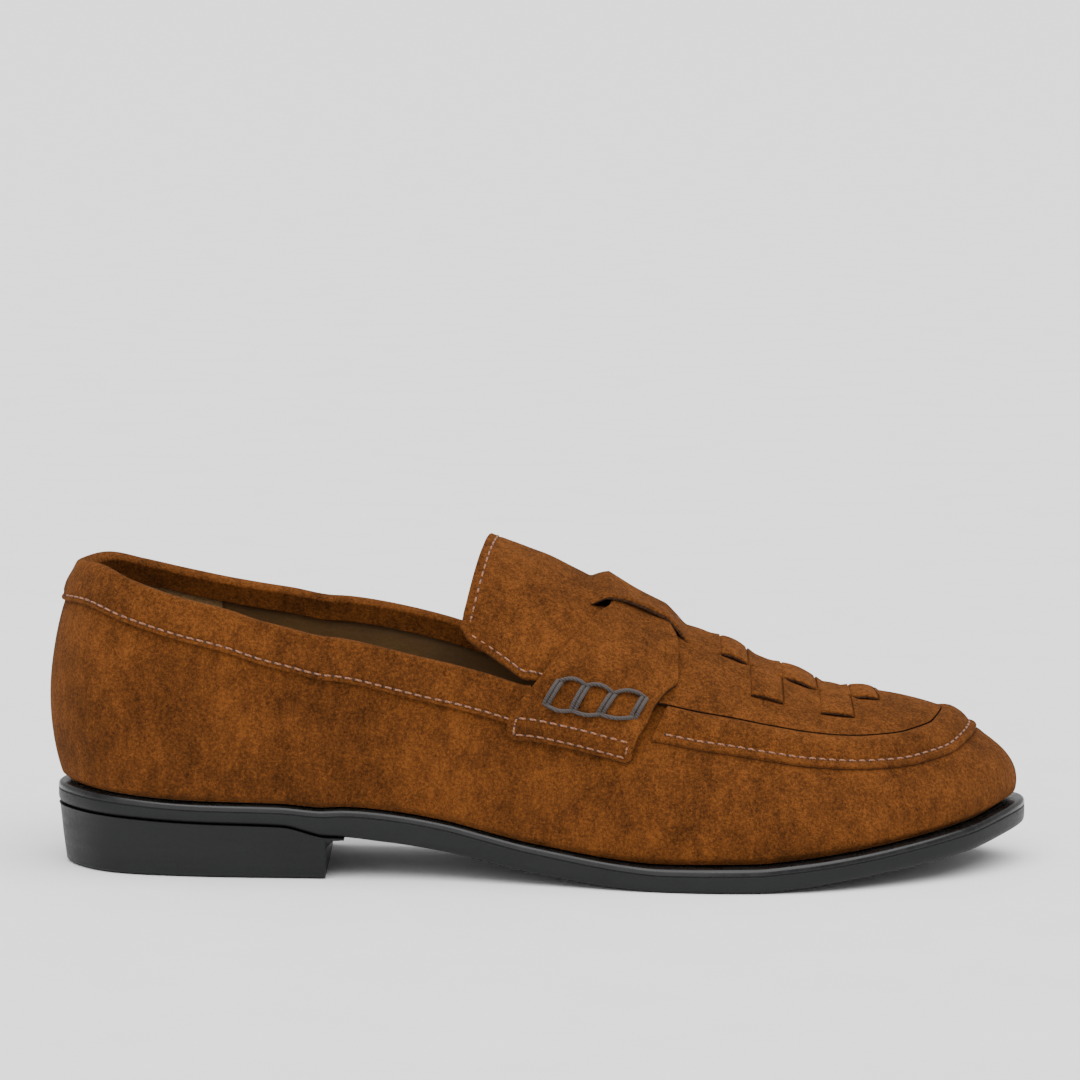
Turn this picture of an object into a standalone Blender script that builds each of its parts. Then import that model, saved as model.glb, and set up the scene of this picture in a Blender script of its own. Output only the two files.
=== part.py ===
"""Right loafer of suede: woven plug with tongue, saddle strap, low heel.

Metres. The shoe stands on z = 0, +X runs to the toe and +Y to the inner (medial) side.
Tables hold shares of the named sizes above them. Stations along the shoe are shares of
LENGTH, 0 at the back of the outsole and 1 at its toe.
"""
import bisect
import functools
import math

import bmesh
import bpy
import numpy as np

MM = 0.001

# Overall sizes
LENGTH = 263 * MM
BALL_WIDTH = 91 * MM
HEEL_HEIGHT = 16.4 * MM
ARCH_RISE = 11.8 * MM
TOE_SPRING = 10.3 * MM
SOLE_THICKNESS = 6.7 * MM
BACK_HEIGHT = 61 * MM
INSTEP_HEIGHT = 76 * MM
BACK_OVERHANG = 1.1 * MM

# Walls and clearances
UPPER_WALL = 2.0 * MM
GAP = 0.3 * MM
SUEDE = 1.3 * MM

# Sole and heel
WELT_LEDGE = 3.6 * MM
EDGE_ROUND = 1.2 * MM
TOP_CORNER_INSET = 0.35 * MM
SOLE_CORNER = 2.0 * MM
SOLE_CORNER_INSET = 1.2 * MM
HEEL_LENGTH = 73.6 * MM
HEEL_TAPER = 2.0 * MM
HEEL_TOP_INSET = 0.4 * MM
BREAST_FILLET = 5.2 * MM
FILLET_LIP = 0.4 * MM
INSOLE_THICKNESS = 2.5 * MM

# Pieces on the upper
COLLAR_DEPTH = 10.5 * MM
COLLAR_LINING = 5.25 * MM
COLLAR_THICKNESS = 0.9 * MM
BAND_WIDTH = 11 * MM
BAND_THICKNESS = 2.3 * MM
BAND_START = 0.006
BAND_LEAN = 0.017
TONGUE_HALF = 40.5 * MM
TONGUE_CLEARANCE = 1.2 * MM
TONGUE_STEP = 0.03
PLUG_EXTRA = (0.511, 0.590)
TONGUE_BACK = 0.444
TONGUE_LEAN = 0.027
STRAP_REACH = 63 * MM
STRAP_THICKNESS = 1.5 * MM
STRAP_GAP = 0.4 * MM
WEAVE_RELIEF = 0.8 * MM
WEAVE_CENTRE = 0.35
WEAVE_SIDE = 0.73
STEP = 0.006
LACING_REACH = 42.5 * MM
LACING_HEIGHT = 8.5 * MM
LACING_BAR = 1.8 * MM
LACING_CORD = 1.2 * MM

# Last
HEEL_CENTRE = 29 * MM
TOE_CENTRE = 35 * MM
FAN_SOFTNESS = 9 * MM

# Mesh fineness
STATIONS = 42
INSOLE_STATIONS = 30
FILLET_STEPS = 6
WALL_ROWS = 13
PLUG_LINES = (
    0.0,
    0.14,
    0.25,
    WEAVE_CENTRE - STEP,
    WEAVE_CENTRE + STEP,
    0.54,
    WEAVE_SIDE - STEP,
    WEAVE_SIDE + STEP,
    0.87,
    1.0,
)
DENSE = 60

# The outsole's outline. Columns: along (share of LENGTH), across (share of half the
# BALL_WIDTH, + inner). It starts at the back and runs forward on the outer side.
OUTLINE = (
    (0.000, 0.14),
    (0.020, -0.16),
    (0.065, -0.385),
    (0.150, -0.505),
    (0.270, -0.560),
    (0.380, -0.590),
    (0.500, -0.755),
    (0.600, -0.930),
    (0.690, -1.000),
    (0.780, -0.945),
    (0.860, -0.755),
    (0.930, -0.490),
    (0.980, -0.150),
    (1.000, 0.170),
    (0.985, 0.420),
    (0.930, 0.720),
    (0.840, 0.925),
    (0.735, 1.000),
    (0.630, 0.870),
    (0.520, 0.640),
    (0.420, 0.550),
    (0.320, 0.620),
    (0.220, 0.760),
    (0.130, 0.810),
    (0.060, 0.680),
    (0.018, 0.450),
)

# Underside of the outsole. Columns: along, seat (share of HEEL_HEIGHT), arch (share of
# ARCH_RISE), spring (share of TOE_SPRING), thickness (share of SOLE_THICKNESS).
SOLE = (
    (0.000, 1.00, 0.00, 0.00, 0.88),
    (0.140, 0.915, 0.00, 0.00, 0.79),
    (0.235, 0.88, 0.00, 0.00, 0.81),
    (0.285, 0.00, 0.99, 0.00, 1.10),
    (0.340, 0.00, 0.87, 0.00, 1.21),
    (0.400, 0.00, 0.68, 0.00, 1.18),
    (0.443, 0.00, 0.49, 0.00, 1.13),
    (0.490, 0.00, 0.28, 0.00, 1.10),
    (0.583, 0.00, 0.04, 0.00, 1.00),
    (0.620, 0.00, 0.00, 0.00, 0.97),
    (0.710, 0.00, 0.00, 0.00, 1.00),
    (0.745, 0.00, 0.00, 0.07, 0.99),
    (0.823, 0.00, 0.00, 0.31, 0.94),
    (0.878, 0.00, 0.00, 0.48, 0.98),
    (0.933, 0.00, 0.00, 0.68, 1.02),
    (1.000, 0.00, 0.00, 1.00, 1.02),
)

# The outsole's ledge around the upper. Columns: along, width (share of WELT_LEDGE).
LEDGE = (
    (0.000, 0.50),
    (0.050, 0.30),
    (0.120, 0.17),
    (0.450, 0.17),
    (0.540, 0.45),
    (0.630, 0.90),
    (0.700, 1.00),
    (1.000, 0.95),
)

# The last's ridge. Columns: along, height over the sole's top (share of
# INSTEP_HEIGHT), across (share of half the BALL_WIDTH).
RIDGE = (
    (0.110, 1.12, 0.145),
    (0.224, 1.13, 0.140),
    (0.338, 1.10, 0.130),
    (0.395, 1.055, 0.120),
    (0.446, 1.00, 0.115),
    (0.487, 0.985, 0.110),
    (0.528, 0.945, 0.110),
    (0.569, 0.885, 0.110),
    (0.631, 0.785, 0.115),
    (0.673, 0.732, 0.120),
    (0.713, 0.664, 0.125),
    (0.752, 0.598, 0.130),
    (0.794, 0.525, 0.135),
    (0.836, 0.485, 0.140),
    (0.880, 0.450, 0.150),
)

# Half sections of the last as one cubic from feather edge to ridge. Columns: along,
# bulge (share of half the BALL_WIDTH past the feather edge), rise (share of
# INSTEP_HEIGHT), reach (share of the section's half width), drop (share of
# INSTEP_HEIGHT under the ridge).
SECTION = (
    (0.010, 0.190, 0.285, 1.12, 0.185),
    (0.100, 0.150, 0.290, 1.08, 0.185),
    (0.250, 0.130, 0.290, 1.05, 0.180),
    (0.380, 0.110, 0.290, 0.98, 0.120),
    (0.450, 0.100, 0.290, 0.85, 0.045),
    (0.550, 0.095, 0.280, 0.74, 0.030),
    (0.640, 0.095, 0.230, 0.66, 0.022),
    (0.720, 0.090, 0.185, 0.61, 0.018),
    (0.850, 0.090, 0.165, 0.60, 0.010),
    (0.970, 0.140, 0.160, 0.62, 0.004),
)

# Top edge of the collar. Columns: along, outer and inner side's height over the
# sole's top (shares of BACK_HEIGHT).
TOPLINE = (
    (0.020, 0.985, 0.985),
    (0.045, 1.000, 1.000),
    (0.083, 0.955, 0.965),
    (0.126, 0.908, 0.925),
    (0.180, 0.858, 0.880),
    (0.221, 0.806, 0.855),
    (0.286, 0.758, 0.830),
    (0.387, 0.705, 0.805),
    (0.440, 0.700, 0.785),
    (0.489, 0.688, 0.755),
)
TOPLINE_END = TOPLINE[-1][0]
THROAT = 0.560

# Seam of the apron band on the upper. Columns: along, height over the sole's top
# (share of INSTEP_HEIGHT).
SEAM = (
    (0.603, 0.422),
    (0.659, 0.390),
    (0.713, 0.356),
    (0.768, 0.309),
    (0.835, 0.265),
    (0.880, 0.249),
    (0.912, 0.250),
    (0.943, 0.276),
    (0.952, 0.285),
)

# Free edge of the tongue. Columns: along, distance from the ridge down the side
# (share of TONGUE_HALF).
TONGUE = (
    (0.417, 0.940),
    (0.425, 1.000),
    (0.441, 1.030),
    (0.461, 1.085),
    (0.489, 1.160),
    (0.540, 1.120),
    (0.603, 0.985),
)

# Front and rear edge of the saddle strap from the bridge down to its tab. Columns:
# down (share of STRAP_REACH), rear edge and front edge (along), height of its inside
# over the last (share of the plug's and the collar's thickness).
STRAP = (
    (0.000, 0.570, 0.612, 1.00),
    (0.110, 0.569, 0.612, 1.00),
    (0.205, 0.568, 0.614, 1.00),
    (0.240, 0.567, 0.634, 1.00),
    (0.305, 0.556, 0.635, 1.00),
    (0.370, 0.545, 0.636, 1.00),
    (0.480, 0.532, 0.633, 1.00),
    (0.570, 0.518, 0.622, 1.00),
    (0.680, 0.502, 0.610, 1.00),
    (0.780, 0.487, 0.603, 1.00),
    (0.860, 0.475, 0.597, 1.00),
    (0.930, 0.467, 0.592, 0.96),
    (1.000, 0.464, 0.587, 0.16),
)

# Lift of the bridge over the strap. Columns: along, lift (share of the full lift).
BRIDGE = (
    (0.552, 0.00),
    (0.560, 1.00),
    (0.618, 1.00),
    (0.634, 0.45),
    (0.650, 0.00),
)

# Section of the apron band from its seam inwards. Columns: place (share of the band's
# width), height (share of BAND_THICKNESS).
BAND_PROFILE = (
    (0.00, 0.55),
    (0.12, 0.90),
    (0.50, 1.00),
    (0.88, 0.90),
    (1.00, 0.55),
)

# Cross edges of the woven cells along the plug, and the places of the lacing's bars.
WEAVE_EDGES = (0.681, 0.710, 0.745, 0.783, 0.821, 0.862)
LACING_TOP = (0.518, 0.544, 0.5705, 0.6005)
LACING_LOW = (0.504, 0.531, 0.558, 0.590)

OUTER, INNER = -1, 1
SIDES = (OUTER, INNER)
SHIFT = (LENGTH - BACK_OVERHANG) / 2
HALF_BALL = BALL_WIDTH / 2


def column(rows, index, share):
    """One column of a table at a share along the shoe: a cubic that never overshoots."""
    knots = [row[0] for row in rows]
    values = [row[index] for row in rows]
    if share <= knots[0]:
        return values[0]
    if share >= knots[-1]:
        return values[-1]
    k = bisect.bisect_right(knots, share) - 1
    width = knots[k + 1] - knots[k]

    def tangent(i):
        if i == 0 or i == len(knots) - 1:
            return 0.0
        before = (values[i] - values[i - 1]) / (knots[i] - knots[i - 1])
        after = (values[i + 1] - values[i]) / (knots[i + 1] - knots[i])
        if before * after <= 0:
            return 0.0
        return 2 * before * after / (before + after)

    s = (share - knots[k]) / width
    start, end = tangent(k) * width, tangent(k + 1) * width
    return (
        values[k] * (1 + 2 * s) * (1 - s) ** 2
        + start * s * (1 - s) ** 2
        + values[k + 1] * s * s * (3 - 2 * s)
        - end * s * s * (1 - s)
    )


def x_at(share):
    return share * LENGTH - SHIFT


def share_at(x):
    return (x + SHIFT) / LENGTH


def sole_under(x):
    share = share_at(x)
    return (
        HEEL_HEIGHT * column(SOLE, 1, share)
        + ARCH_RISE * column(SOLE, 2, share)
        + TOE_SPRING * column(SOLE, 3, share)
    )


def sole_top(x):
    return sole_under(x) + SOLE_THICKNESS * column(SOLE, 4, share_at(x))


def outline_loop():
    """Dense points of the outsole's outline, a closed smooth curve through OUTLINE."""
    rows = np.array([(x_at(a), b * HALF_BALL) for a, b in OUTLINE])
    count = len(rows)
    points = []
    for i in range(count):
        p0, p1, p2, p3 = (rows[(i + k - 1) % count] for k in range(4))
        for s in np.linspace(0, 1, DENSE, endpoint=False):
            points.append(
                0.5
                * (
                    2 * p1
                    + (p2 - p0) * s
                    + (2 * p0 - 5 * p1 + 4 * p2 - p3) * s**2
                    + (3 * p1 - p0 - 3 * p2 + p3) * s**3
                )
            )
    return np.array(points)


LOOP = outline_loop()


class Rim:
    """The outline moved inwards, read as two sides that run from back to toe."""

    def __init__(self, inset):
        ahead = np.roll(LOOP, -1, axis=0) - np.roll(LOOP, 1, axis=0)
        ahead /= np.linalg.norm(ahead, axis=1)[:, None]
        inward = np.stack([-ahead[:, 1], ahead[:, 0]], axis=1)
        amounts = np.array([inset(share_at(p[0])) for p in LOOP])
        loop = LOOP + inward * amounts[:, None]
        back, toe = int(loop[:, 0].argmin()), int(loop[:, 0].argmax())
        loop = np.roll(loop, -back, axis=0)
        toe = (toe - back) % len(loop)
        outer = loop[: toe + 1]
        inner = np.vstack([loop[toe:], loop[:1]])[::-1]
        self.sides = {-1: self.rising(outer), 1: self.rising(inner)}
        self.back, self.toe = outer[0][0], outer[-1][0]

    @staticmethod
    def rising(points):
        keep = [points[0]]
        for point in points[1:]:
            if point[0] > keep[-1][0] + 1e-9:
                keep.append(point)
        return np.array(keep)

    def y(self, side, x):
        points = self.sides[side]
        return float(np.interp(x, points[:, 0], points[:, 1]))

    def stations(self, count=STATIONS):
        """Places along the shoe, close together where the ends are round."""
        turn = [math.pi * k / count for k in range(count + 1)]
        return [self.back + (self.toe - self.back) * (1 - math.cos(a)) / 2 for a in turn]


def ledge(share):
    """Width of the outsole's ledge around the upper."""
    return WELT_LEDGE * column(LEDGE, 1, share)


FEATHER = Rim(ledge)


def soft_least(a, b):
    return 0.5 * (a + b - math.hypot(a - b, FAN_SOFTNESS))


def ridge_height(x):
    """The last's own ridge, which carries the plug."""
    return sole_top(x) + INSTEP_HEIGHT * column(RIDGE, 1, share_at(x)) - GAP - SUEDE


def ridge_slope(x):
    step = 2 * MM
    return (ridge_height(x + step) - ridge_height(x - step)) / (2 * step)


class Section:
    """Half a section of the last, one cubic from the feather edge up to the ridge.

    Its t runs from 0 at the feather edge to 1 at the ridge. Heel and toe are fans of
    such sections around a centre of their own.
    """

    SAMPLES = np.linspace(0, 1, 81)

    def __init__(self, x, side):
        x = min(max(x, FEATHER.back), FEATHER.toe)
        foot = np.array([x, FEATHER.y(side, x)])
        heel, toe = FEATHER.back + HEEL_CENTRE, FEATHER.toe - TOE_CENTRE
        centre_x = -soft_least(-soft_least(x, toe), -heel)
        across = HALF_BALL * column(RIDGE, 2, share_at(centre_x))
        centre = np.array([centre_x, across])
        spoke = foot - centre
        reach = float(np.linalg.norm(spoke))
        spoke /= reach
        own = share_at(x)
        low, ridge = sole_top(x) + GAP, ridge_height(centre_x)
        shoulder = reach * column(SECTION, 3, own)
        slope = ridge_slope(centre_x)
        fall = INSTEP_HEIGHT * column(SECTION, 4, own) - slope * spoke[0] * shoulder
        bulge = reach + HALF_BALL * column(SECTION, 1, own)
        rise = low + INSTEP_HEIGHT * column(SECTION, 2, own)
        out = (reach, bulge, shoulder, 0.0)
        up = (low, rise, ridge - fall, ridge)
        self.poles = np.array([[*(centre + spoke * r), z] for r, z in zip(out, up)])
        self.crown = np.array([-slope, 0.0, 1.0]) / math.hypot(slope, 1.0)
        self.points = self.at(self.SAMPLES)
        steps = np.linalg.norm(np.diff(self.points, axis=0), axis=1)
        self.arc = np.concatenate([[0.0], np.cumsum(steps)])
        self.girth = self.arc[-1]

    def at(self, t):
        t = np.asarray(t)[..., None]
        p = self.poles
        near = p[0] * (1 - t) ** 3 + 3 * p[1] * t * (1 - t) ** 2
        return near + 3 * p[2] * t * t * (1 - t) + p[3] * t**3

    def t_down(self, distance):
        """The t that lies at a distance from the ridge down the side."""
        return float(np.interp(self.girth - distance, self.arc, self.SAMPLES))

    def down(self, t):
        return self.girth - float(np.interp(t, self.SAMPLES, self.arc))

    def t_level(self, level):
        """The t at which the section first rises to level(x)."""
        over = self.points[:, 2] - np.array([level(x) for x in self.points[:, 0]])
        k = int(np.argmax(over > 0))
        if k == 0:
            return 1.0
        part = over[k - 1] / (over[k - 1] - over[k])
        return float(self.SAMPLES[k - 1] + part * (self.SAMPLES[k] - self.SAMPLES[k - 1]))


@functools.lru_cache(maxsize=None)
def section(x, side):
    return Section(x, side)


def on_last(x, side, t, offset=0.0):
    """A point at t of the last's section at x, moved out from its face by an offset."""
    own = section(x, side)
    point = own.at(t)
    if not offset:
        return point
    if t > 0.999:
        return point + own.crown * offset
    step = 0.2 * MM
    if FEATHER.back + step < x < FEATHER.toe - step:
        ahead = (section(x + step, side).at(t) - section(x - step, side).at(t)) * -side
    else:
        end = 1 if x > 0 else -1
        x = FEATHER.toe - step if x > 0 else FEATHER.back + step
        ahead = (section(x, 1).at(t) - section(x, -1).at(t)) * end
    rising = own.at(min(t + 0.01, 1.0)) - own.at(max(t - 0.01, 0.0))
    normal = np.cross(ahead, rising)
    return point + normal / np.linalg.norm(normal) * offset


def down_side(x, side, distance, offset=0.0):
    """A point at a distance from the ridge down one side of the last."""
    return on_last(x, side, section(x, side).t_down(distance), offset)


def topline(side):
    index = 1 if side == OUTER else 2

    def level(x):
        over = BACK_HEIGHT * column(TOPLINE, index, share_at(x))
        return sole_top(x) + over - GAP - COLLAR_THICKNESS

    return level


def seam_level(x):
    return sole_top(x) + INSTEP_HEIGHT * column(SEAM, 1, share_at(x))


@functools.lru_cache(maxsize=None)
def top_t(x, side):
    """Where the upper's wall ends: the topline, then the throat, then the ridge."""
    share = share_at(x)
    if share >= THROAT:
        return 1.0
    own = section(x, side)
    if share <= TOPLINE_END:
        return own.t_level(topline(side))
    start = own.t_level(topline(side))
    part = (share - TOPLINE_END) / (THROAT - TOPLINE_END)
    return own.t_down(own.down(start) * (1 - part))


def seam_down(x, side):
    """Distance from the ridge to the apron band's seam."""
    own = section(x, OUTER)
    return own.down(own.t_level(seam_level)) * wrap(x, side)


def wrap(x, side):
    """Shortens distances from the ridge on the inner side, whose girth is less."""
    return section(x, side).girth / section(x, OUTER).girth


def plug_down(x, side):
    """Distance from the ridge to the edge of the plug, or of the tongue behind it."""
    share = share_at(x)
    if share >= TONGUE[-1][0]:
        return seam_down(x, side) - BAND_WIDTH
    edge = TONGUE_HALF * column(TONGUE, 1, share) * wrap(x, side)
    if share < TOPLINE_END + TONGUE_STEP:
        collar = section(x, side).down(top_t(min(x, x_at(TOPLINE_END)), side))
        edge = min(edge, collar - GAP - COLLAR_THICKNESS - TONGUE_CLEARANCE)
    return edge


class Body:
    """A closed mesh put together from corners; equal corners become one vertex."""

    def __init__(self):
        self.vertices, self.faces, self.known = [], [], {}

    def vertex(self, point):
        key = tuple(round(float(v) * 1e7) for v in point)
        if key not in self.known:
            self.known[key] = len(self.vertices)
            self.vertices.append(tuple(float(v) for v in point))
        return self.known[key]

    def face(self, *corners):
        self.indices([self.vertex(c) for c in corners])

    def indices(self, ring):
        kept = [v for k, v in enumerate(ring) if v != ring[k - 1]]
        if len(set(kept)) == len(kept) >= 3:
            self.faces.append(kept)

    def strip(self, row, following):
        for k in range(len(row) - 1):
            self.face(row[k], row[k + 1], following[k + 1], following[k])

    def sheets(self, cells):
        """Cells of (outer, inner) corners become a wall with rims on its free edges."""
        links, edges = {}, {}
        for cell in cells:
            pairs = [(self.vertex(o), self.vertex(i)) for o, i in cell]
            links.update(pairs)
            ring = [pair[0] for pair in pairs]
            ring = [v for k, v in enumerate(ring) if v != ring[k - 1]]
            if len(set(ring)) != len(ring) or len(ring) < 3:
                continue
            self.faces.append(ring)
            self.indices([links[v] for v in reversed(ring)])
            for k, start in enumerate(ring):
                edges[(start, ring[(k + 1) % len(ring)])] = True
        for start, end in edges:
            if (end, start) not in edges:
                self.indices([end, start, links[start], links[end]])

    def make(self, name, material, smooth_angle=40):
        mesh = bpy.data.meshes.new(name)
        mesh.from_pydata(self.vertices, [], self.faces)
        work = bmesh.new()
        work.from_mesh(mesh)
        bmesh.ops.triangulate(work, faces=work.faces)
        bmesh.ops.recalc_face_normals(work, faces=work.faces)
        work.to_mesh(mesh)
        work.free()
        mesh.shade_smooth()
        mesh.set_sharp_from_angle(angle=math.radians(smooth_angle))
        mesh.materials.append(material)
        made = bpy.data.objects.new(name, mesh)
        bpy.context.collection.objects.link(made)
        return made


def grid_cells(grid, keep=None):
    """Cells between the corners of a grid of (outer, inner) pairs."""
    cells = []
    for i in range(len(grid) - 1):
        for j in range(len(grid[i]) - 1):
            if keep is None or keep(i, j):
                near, far = grid[i], grid[i + 1]
                cells.append((near[j], near[j + 1], far[j + 1], far[j]))
    return cells


def material(name, colour, roughness):
    made = bpy.data.materials.new(name)
    made.use_nodes = True
    shader = made.node_tree.nodes["Principled BSDF"]
    shader.inputs["Base Color"].default_value = (*colour, 1.0)
    shader.inputs["Roughness"].default_value = roughness
    shader.inputs["Metallic"].default_value = 0.0
    return made


def outsole(finish):
    """The whole sole with its ledge, from rings that follow the outline."""
    rings = (
        (SOLE_CORNER_INSET, sole_under, 0.0),
        (0.25 * SOLE_CORNER_INSET, sole_under, 0.4 * SOLE_CORNER),
        (0.0, sole_under, SOLE_CORNER),
        (0.0, sole_top, -EDGE_ROUND),
        (TOP_CORNER_INSET, sole_top, -0.3 * EDGE_ROUND),
        (0.55 * EDGE_ROUND, sole_top, 0.0),
    )
    body = Body()
    placed = []
    for inset, level, lift in rings:
        rim = Rim(lambda share, inset=inset: inset)
        placed.append(
            {
                side: [(x, rim.y(side, x), level(x) + lift) for x in rim.stations()]
                for side in SIDES
            }
        )
    for side in SIDES:
        for low, high in zip(placed, placed[1:]):
            body.strip(low[side], high[side])
    body.strip(placed[0][-1], placed[0][1])
    body.strip(placed[-1][-1], placed[-1][1])
    return body.make("outsole", finish)


def heel(finish):
    """Block under the back of the sole, with a concave fillet at its breast."""
    breast = x_at(HEEL_LENGTH / LENGTH)
    top_rim = Rim(lambda share: HEEL_TOP_INSET)
    foot_rim = Rim(lambda share: HEEL_TAPER)
    tread_rim = Rim(lambda share: HEEL_TAPER + 0.5 * EDGE_ROUND)
    lowest = breast + BREAST_FILLET
    plain = [x for x in top_rim.stations() if x < breast - EDGE_ROUND] + [breast]
    body = Body()

    def row(x, floor):
        share = min(max((x - top_rim.back) / (breast - top_rim.back), 0.0), 1.0)
        tread_x = tread_rim.back + (breast - tread_rim.back) * share
        foot_x = foot_rim.back + (breast - foot_rim.back) * share
        if x > breast:
            tread_x = foot_x = x
        ceiling = sole_under(x) - GAP
        rise = min(0.5 * EDGE_ROUND, 0.4 * (ceiling - floor))
        return [
            (tread_x, tread_rim.y(-1, tread_x), floor),
            (foot_x, foot_rim.y(-1, foot_x), floor + rise),
            (x, top_rim.y(-1, x), ceiling),
            (x, top_rim.y(1, x), ceiling),
            (foot_x, foot_rim.y(1, foot_x), floor + rise),
            (tread_x, tread_rim.y(1, tread_x), floor),
        ]

    rows = [row(x, 0.0) for x in plain]
    for k in range(FILLET_STEPS):
        turn = math.pi / 2 * k / (FILLET_STEPS - 1)
        x = breast + (lowest - breast) * (1 - math.cos(turn))
        depth = (BREAST_FILLET - FILLET_LIP) * (1 - math.sin(turn)) + FILLET_LIP
        rows.append(row(x, sole_under(x) - GAP - depth))
    for near, far in zip(rows, rows[1:]):
        body.strip(near + near[:1], far + far[:1])
    body.face(rows[-1][0], rows[-1][1], rows[-1][2], rows[-1][3], rows[-1][4], rows[-1][5])
    return body.make("heel", finish)


def insole(finish):
    """The footbed, which closes the upper underneath."""
    rim = Rim(lambda share: ledge(share) + UPPER_WALL + GAP)
    xs = rim.stations(INSOLE_STATIONS)
    body = Body()
    low = {s: [(x, rim.y(s, x), sole_top(x) + GAP) for x in xs] for s in SIDES}
    high = {
        s: [(x, y, z + INSOLE_THICKNESS) for x, y, z in low[s]] for s in SIDES
    }
    for side in SIDES:
        body.strip(low[side], high[side])
    body.strip(low[-1], low[1])
    body.strip(high[-1], high[1])
    return body.make("insole", finish)


@functools.lru_cache(maxsize=None)
def wall_stations():
    """Stations of the wall, with one at the collar's end and one at the throat."""
    xs = list(FEATHER.stations())
    for fixed in (x_at(TOPLINE_END), x_at(THROAT)):
        k = min(range(len(xs)), key=lambda i: abs(xs[i] - fixed))
        xs[k] = fixed
    return xs


def rear_rows(x, side):
    """Rows of the wall under the collar, as shares of the wall's height in t."""
    own = section(x, side)
    top = top_t(x, side)
    start = own.down(top)
    low = own.t_down(start + COLLAR_DEPTH)
    rows = [low * k / (WALL_ROWS - 2) for k in range(WALL_ROWS - 1)]
    return [t / top for t in (*rows, own.t_down(start + COLLAR_LINING), top)]


def front_rows(x, side):
    """Rows of the wall under the band and the plug, on the same lines as theirs."""
    own = section(x, side)
    seam, edge = seam_down(x, side), plug_down(x, side)
    upward = [edge * line for line in reversed(PLUG_LINES)]
    lower = WALL_ROWS - len(upward)
    rows = [own.t_down(seam) * k / lower for k in range(lower + 1)]
    return rows + [own.t_down(away) for away in upward[:-1]] + [1.0]


def upper(finish):
    """Vamp and quarters as one hollow wall, open at the collar and underneath."""
    body = Body()
    cells = []
    collar_end, throat = x_at(TOPLINE_END), x_at(THROAT)
    for side in SIDES:
        grid = []
        for x in wall_stations():
            part = min(max((x - collar_end) / (throat - collar_end), 0.0), 1.0)
            rear = rear_rows(min(x, collar_end), side)
            front = front_rows(max(x, throat), side)
            top = top_t(x, side)
            ts = [top * (a + (b - a) * part) for a, b in zip(rear, front)]
            grid.append(
                [(on_last(x, side, t), on_last(x, side, t, -UPPER_WALL)) for t in ts]
            )
        cells += [cell if side < 0 else cell[::-1] for cell in grid_cells(grid)]
    body.sheets(cells)
    return body.make("upper", finish)


def collar_profile(x, side):
    """Closed section of the collar binding around the upper's top edge."""
    own = section(x, side)
    top = top_t(x, side)
    start = own.down(top)
    outer, inner = GAP + COLLAR_THICKNESS, UPPER_WALL + GAP + COLLAR_THICKNESS
    crest = own.at(top)

    def leg(depth, offset):
        return down_side(x, side, start + depth, offset)

    rising = own.at(min(top + 0.01, 1.0)) - own.at(top)
    rising /= np.linalg.norm(rising)
    low_out, low_in = leg(0.0, outer), leg(0.0, -inner)
    near_out, near_in = leg(0.0, GAP), leg(0.0, -UPPER_WALL - GAP)
    over = COLLAR_THICKNESS + GAP
    return [
        leg(COLLAR_DEPTH, outer),
        leg(COLLAR_LINING, outer),
        low_out,
        low_out + (near_out - low_out) * 0.6 + rising * over * 0.8,
        0.5 * (near_out + near_in) + rising * over,
        low_in + (near_in - low_in) * 0.6 + rising * over * 0.8,
        low_in,
        leg(COLLAR_LINING, -inner),
        leg(COLLAR_LINING, -UPPER_WALL - GAP),
        near_in + rising * GAP,
        near_out + rising * GAP,
        leg(COLLAR_LINING, GAP),
        leg(COLLAR_DEPTH, GAP),
    ]


def collar(finish):
    """Binding folded over the top edge, from the strap round the heel to the strap."""
    xs = [x for x in wall_stations() if x <= x_at(TOPLINE_END)]
    rings = [collar_profile(x, -1) for x in reversed(xs)]
    rings += [collar_profile(x, 1) for x in xs[1:]]
    body = Body()
    for near, far in zip(rings, rings[1:]):
        body.strip(near + near[:1], far + far[:1])
    body.face(*rings[0])
    body.face(*rings[-1])
    return body.make("collar", finish)


def plug_rows():
    """Stations of the plug at the ridge, from the tongue's back edge to the toe."""
    rows = [TONGUE_BACK]
    half = 0.2 * MM / LENGTH
    edges = [e + d for e in WEAVE_EDGES for d in (-half, half)]
    extra = sorted(edges + [row[0] for row in BRIDGE] + list(PLUG_EXTRA))
    for share in sorted(extra + [share_at(x) for x in FEATHER.stations()]):
        spaced = share - rows[-1] > 0.014
        if share > rows[-1] and (spaced or share in extra or share > 0.9):
            rows.append(share)
    return rows


def woven(share, line):
    """Whether a place on the plug lies on a raised cell of the weave."""
    for k in range(len(WEAVE_EDGES) - 1):
        if WEAVE_EDGES[k] < share < WEAVE_EDGES[k + 1]:
            if k % 2 == 0:
                return line < WEAVE_CENTRE
            return WEAVE_CENTRE < line < WEAVE_SIDE
    return False


def bridge_lift(share):
    """Height of the bridge over the plug, which leaves room for the strap."""
    full = STRAP_THICKNESS + SUEDE + GAP + STRAP_GAP
    return full * float(np.interp(share, *zip(*BRIDGE)))


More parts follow.
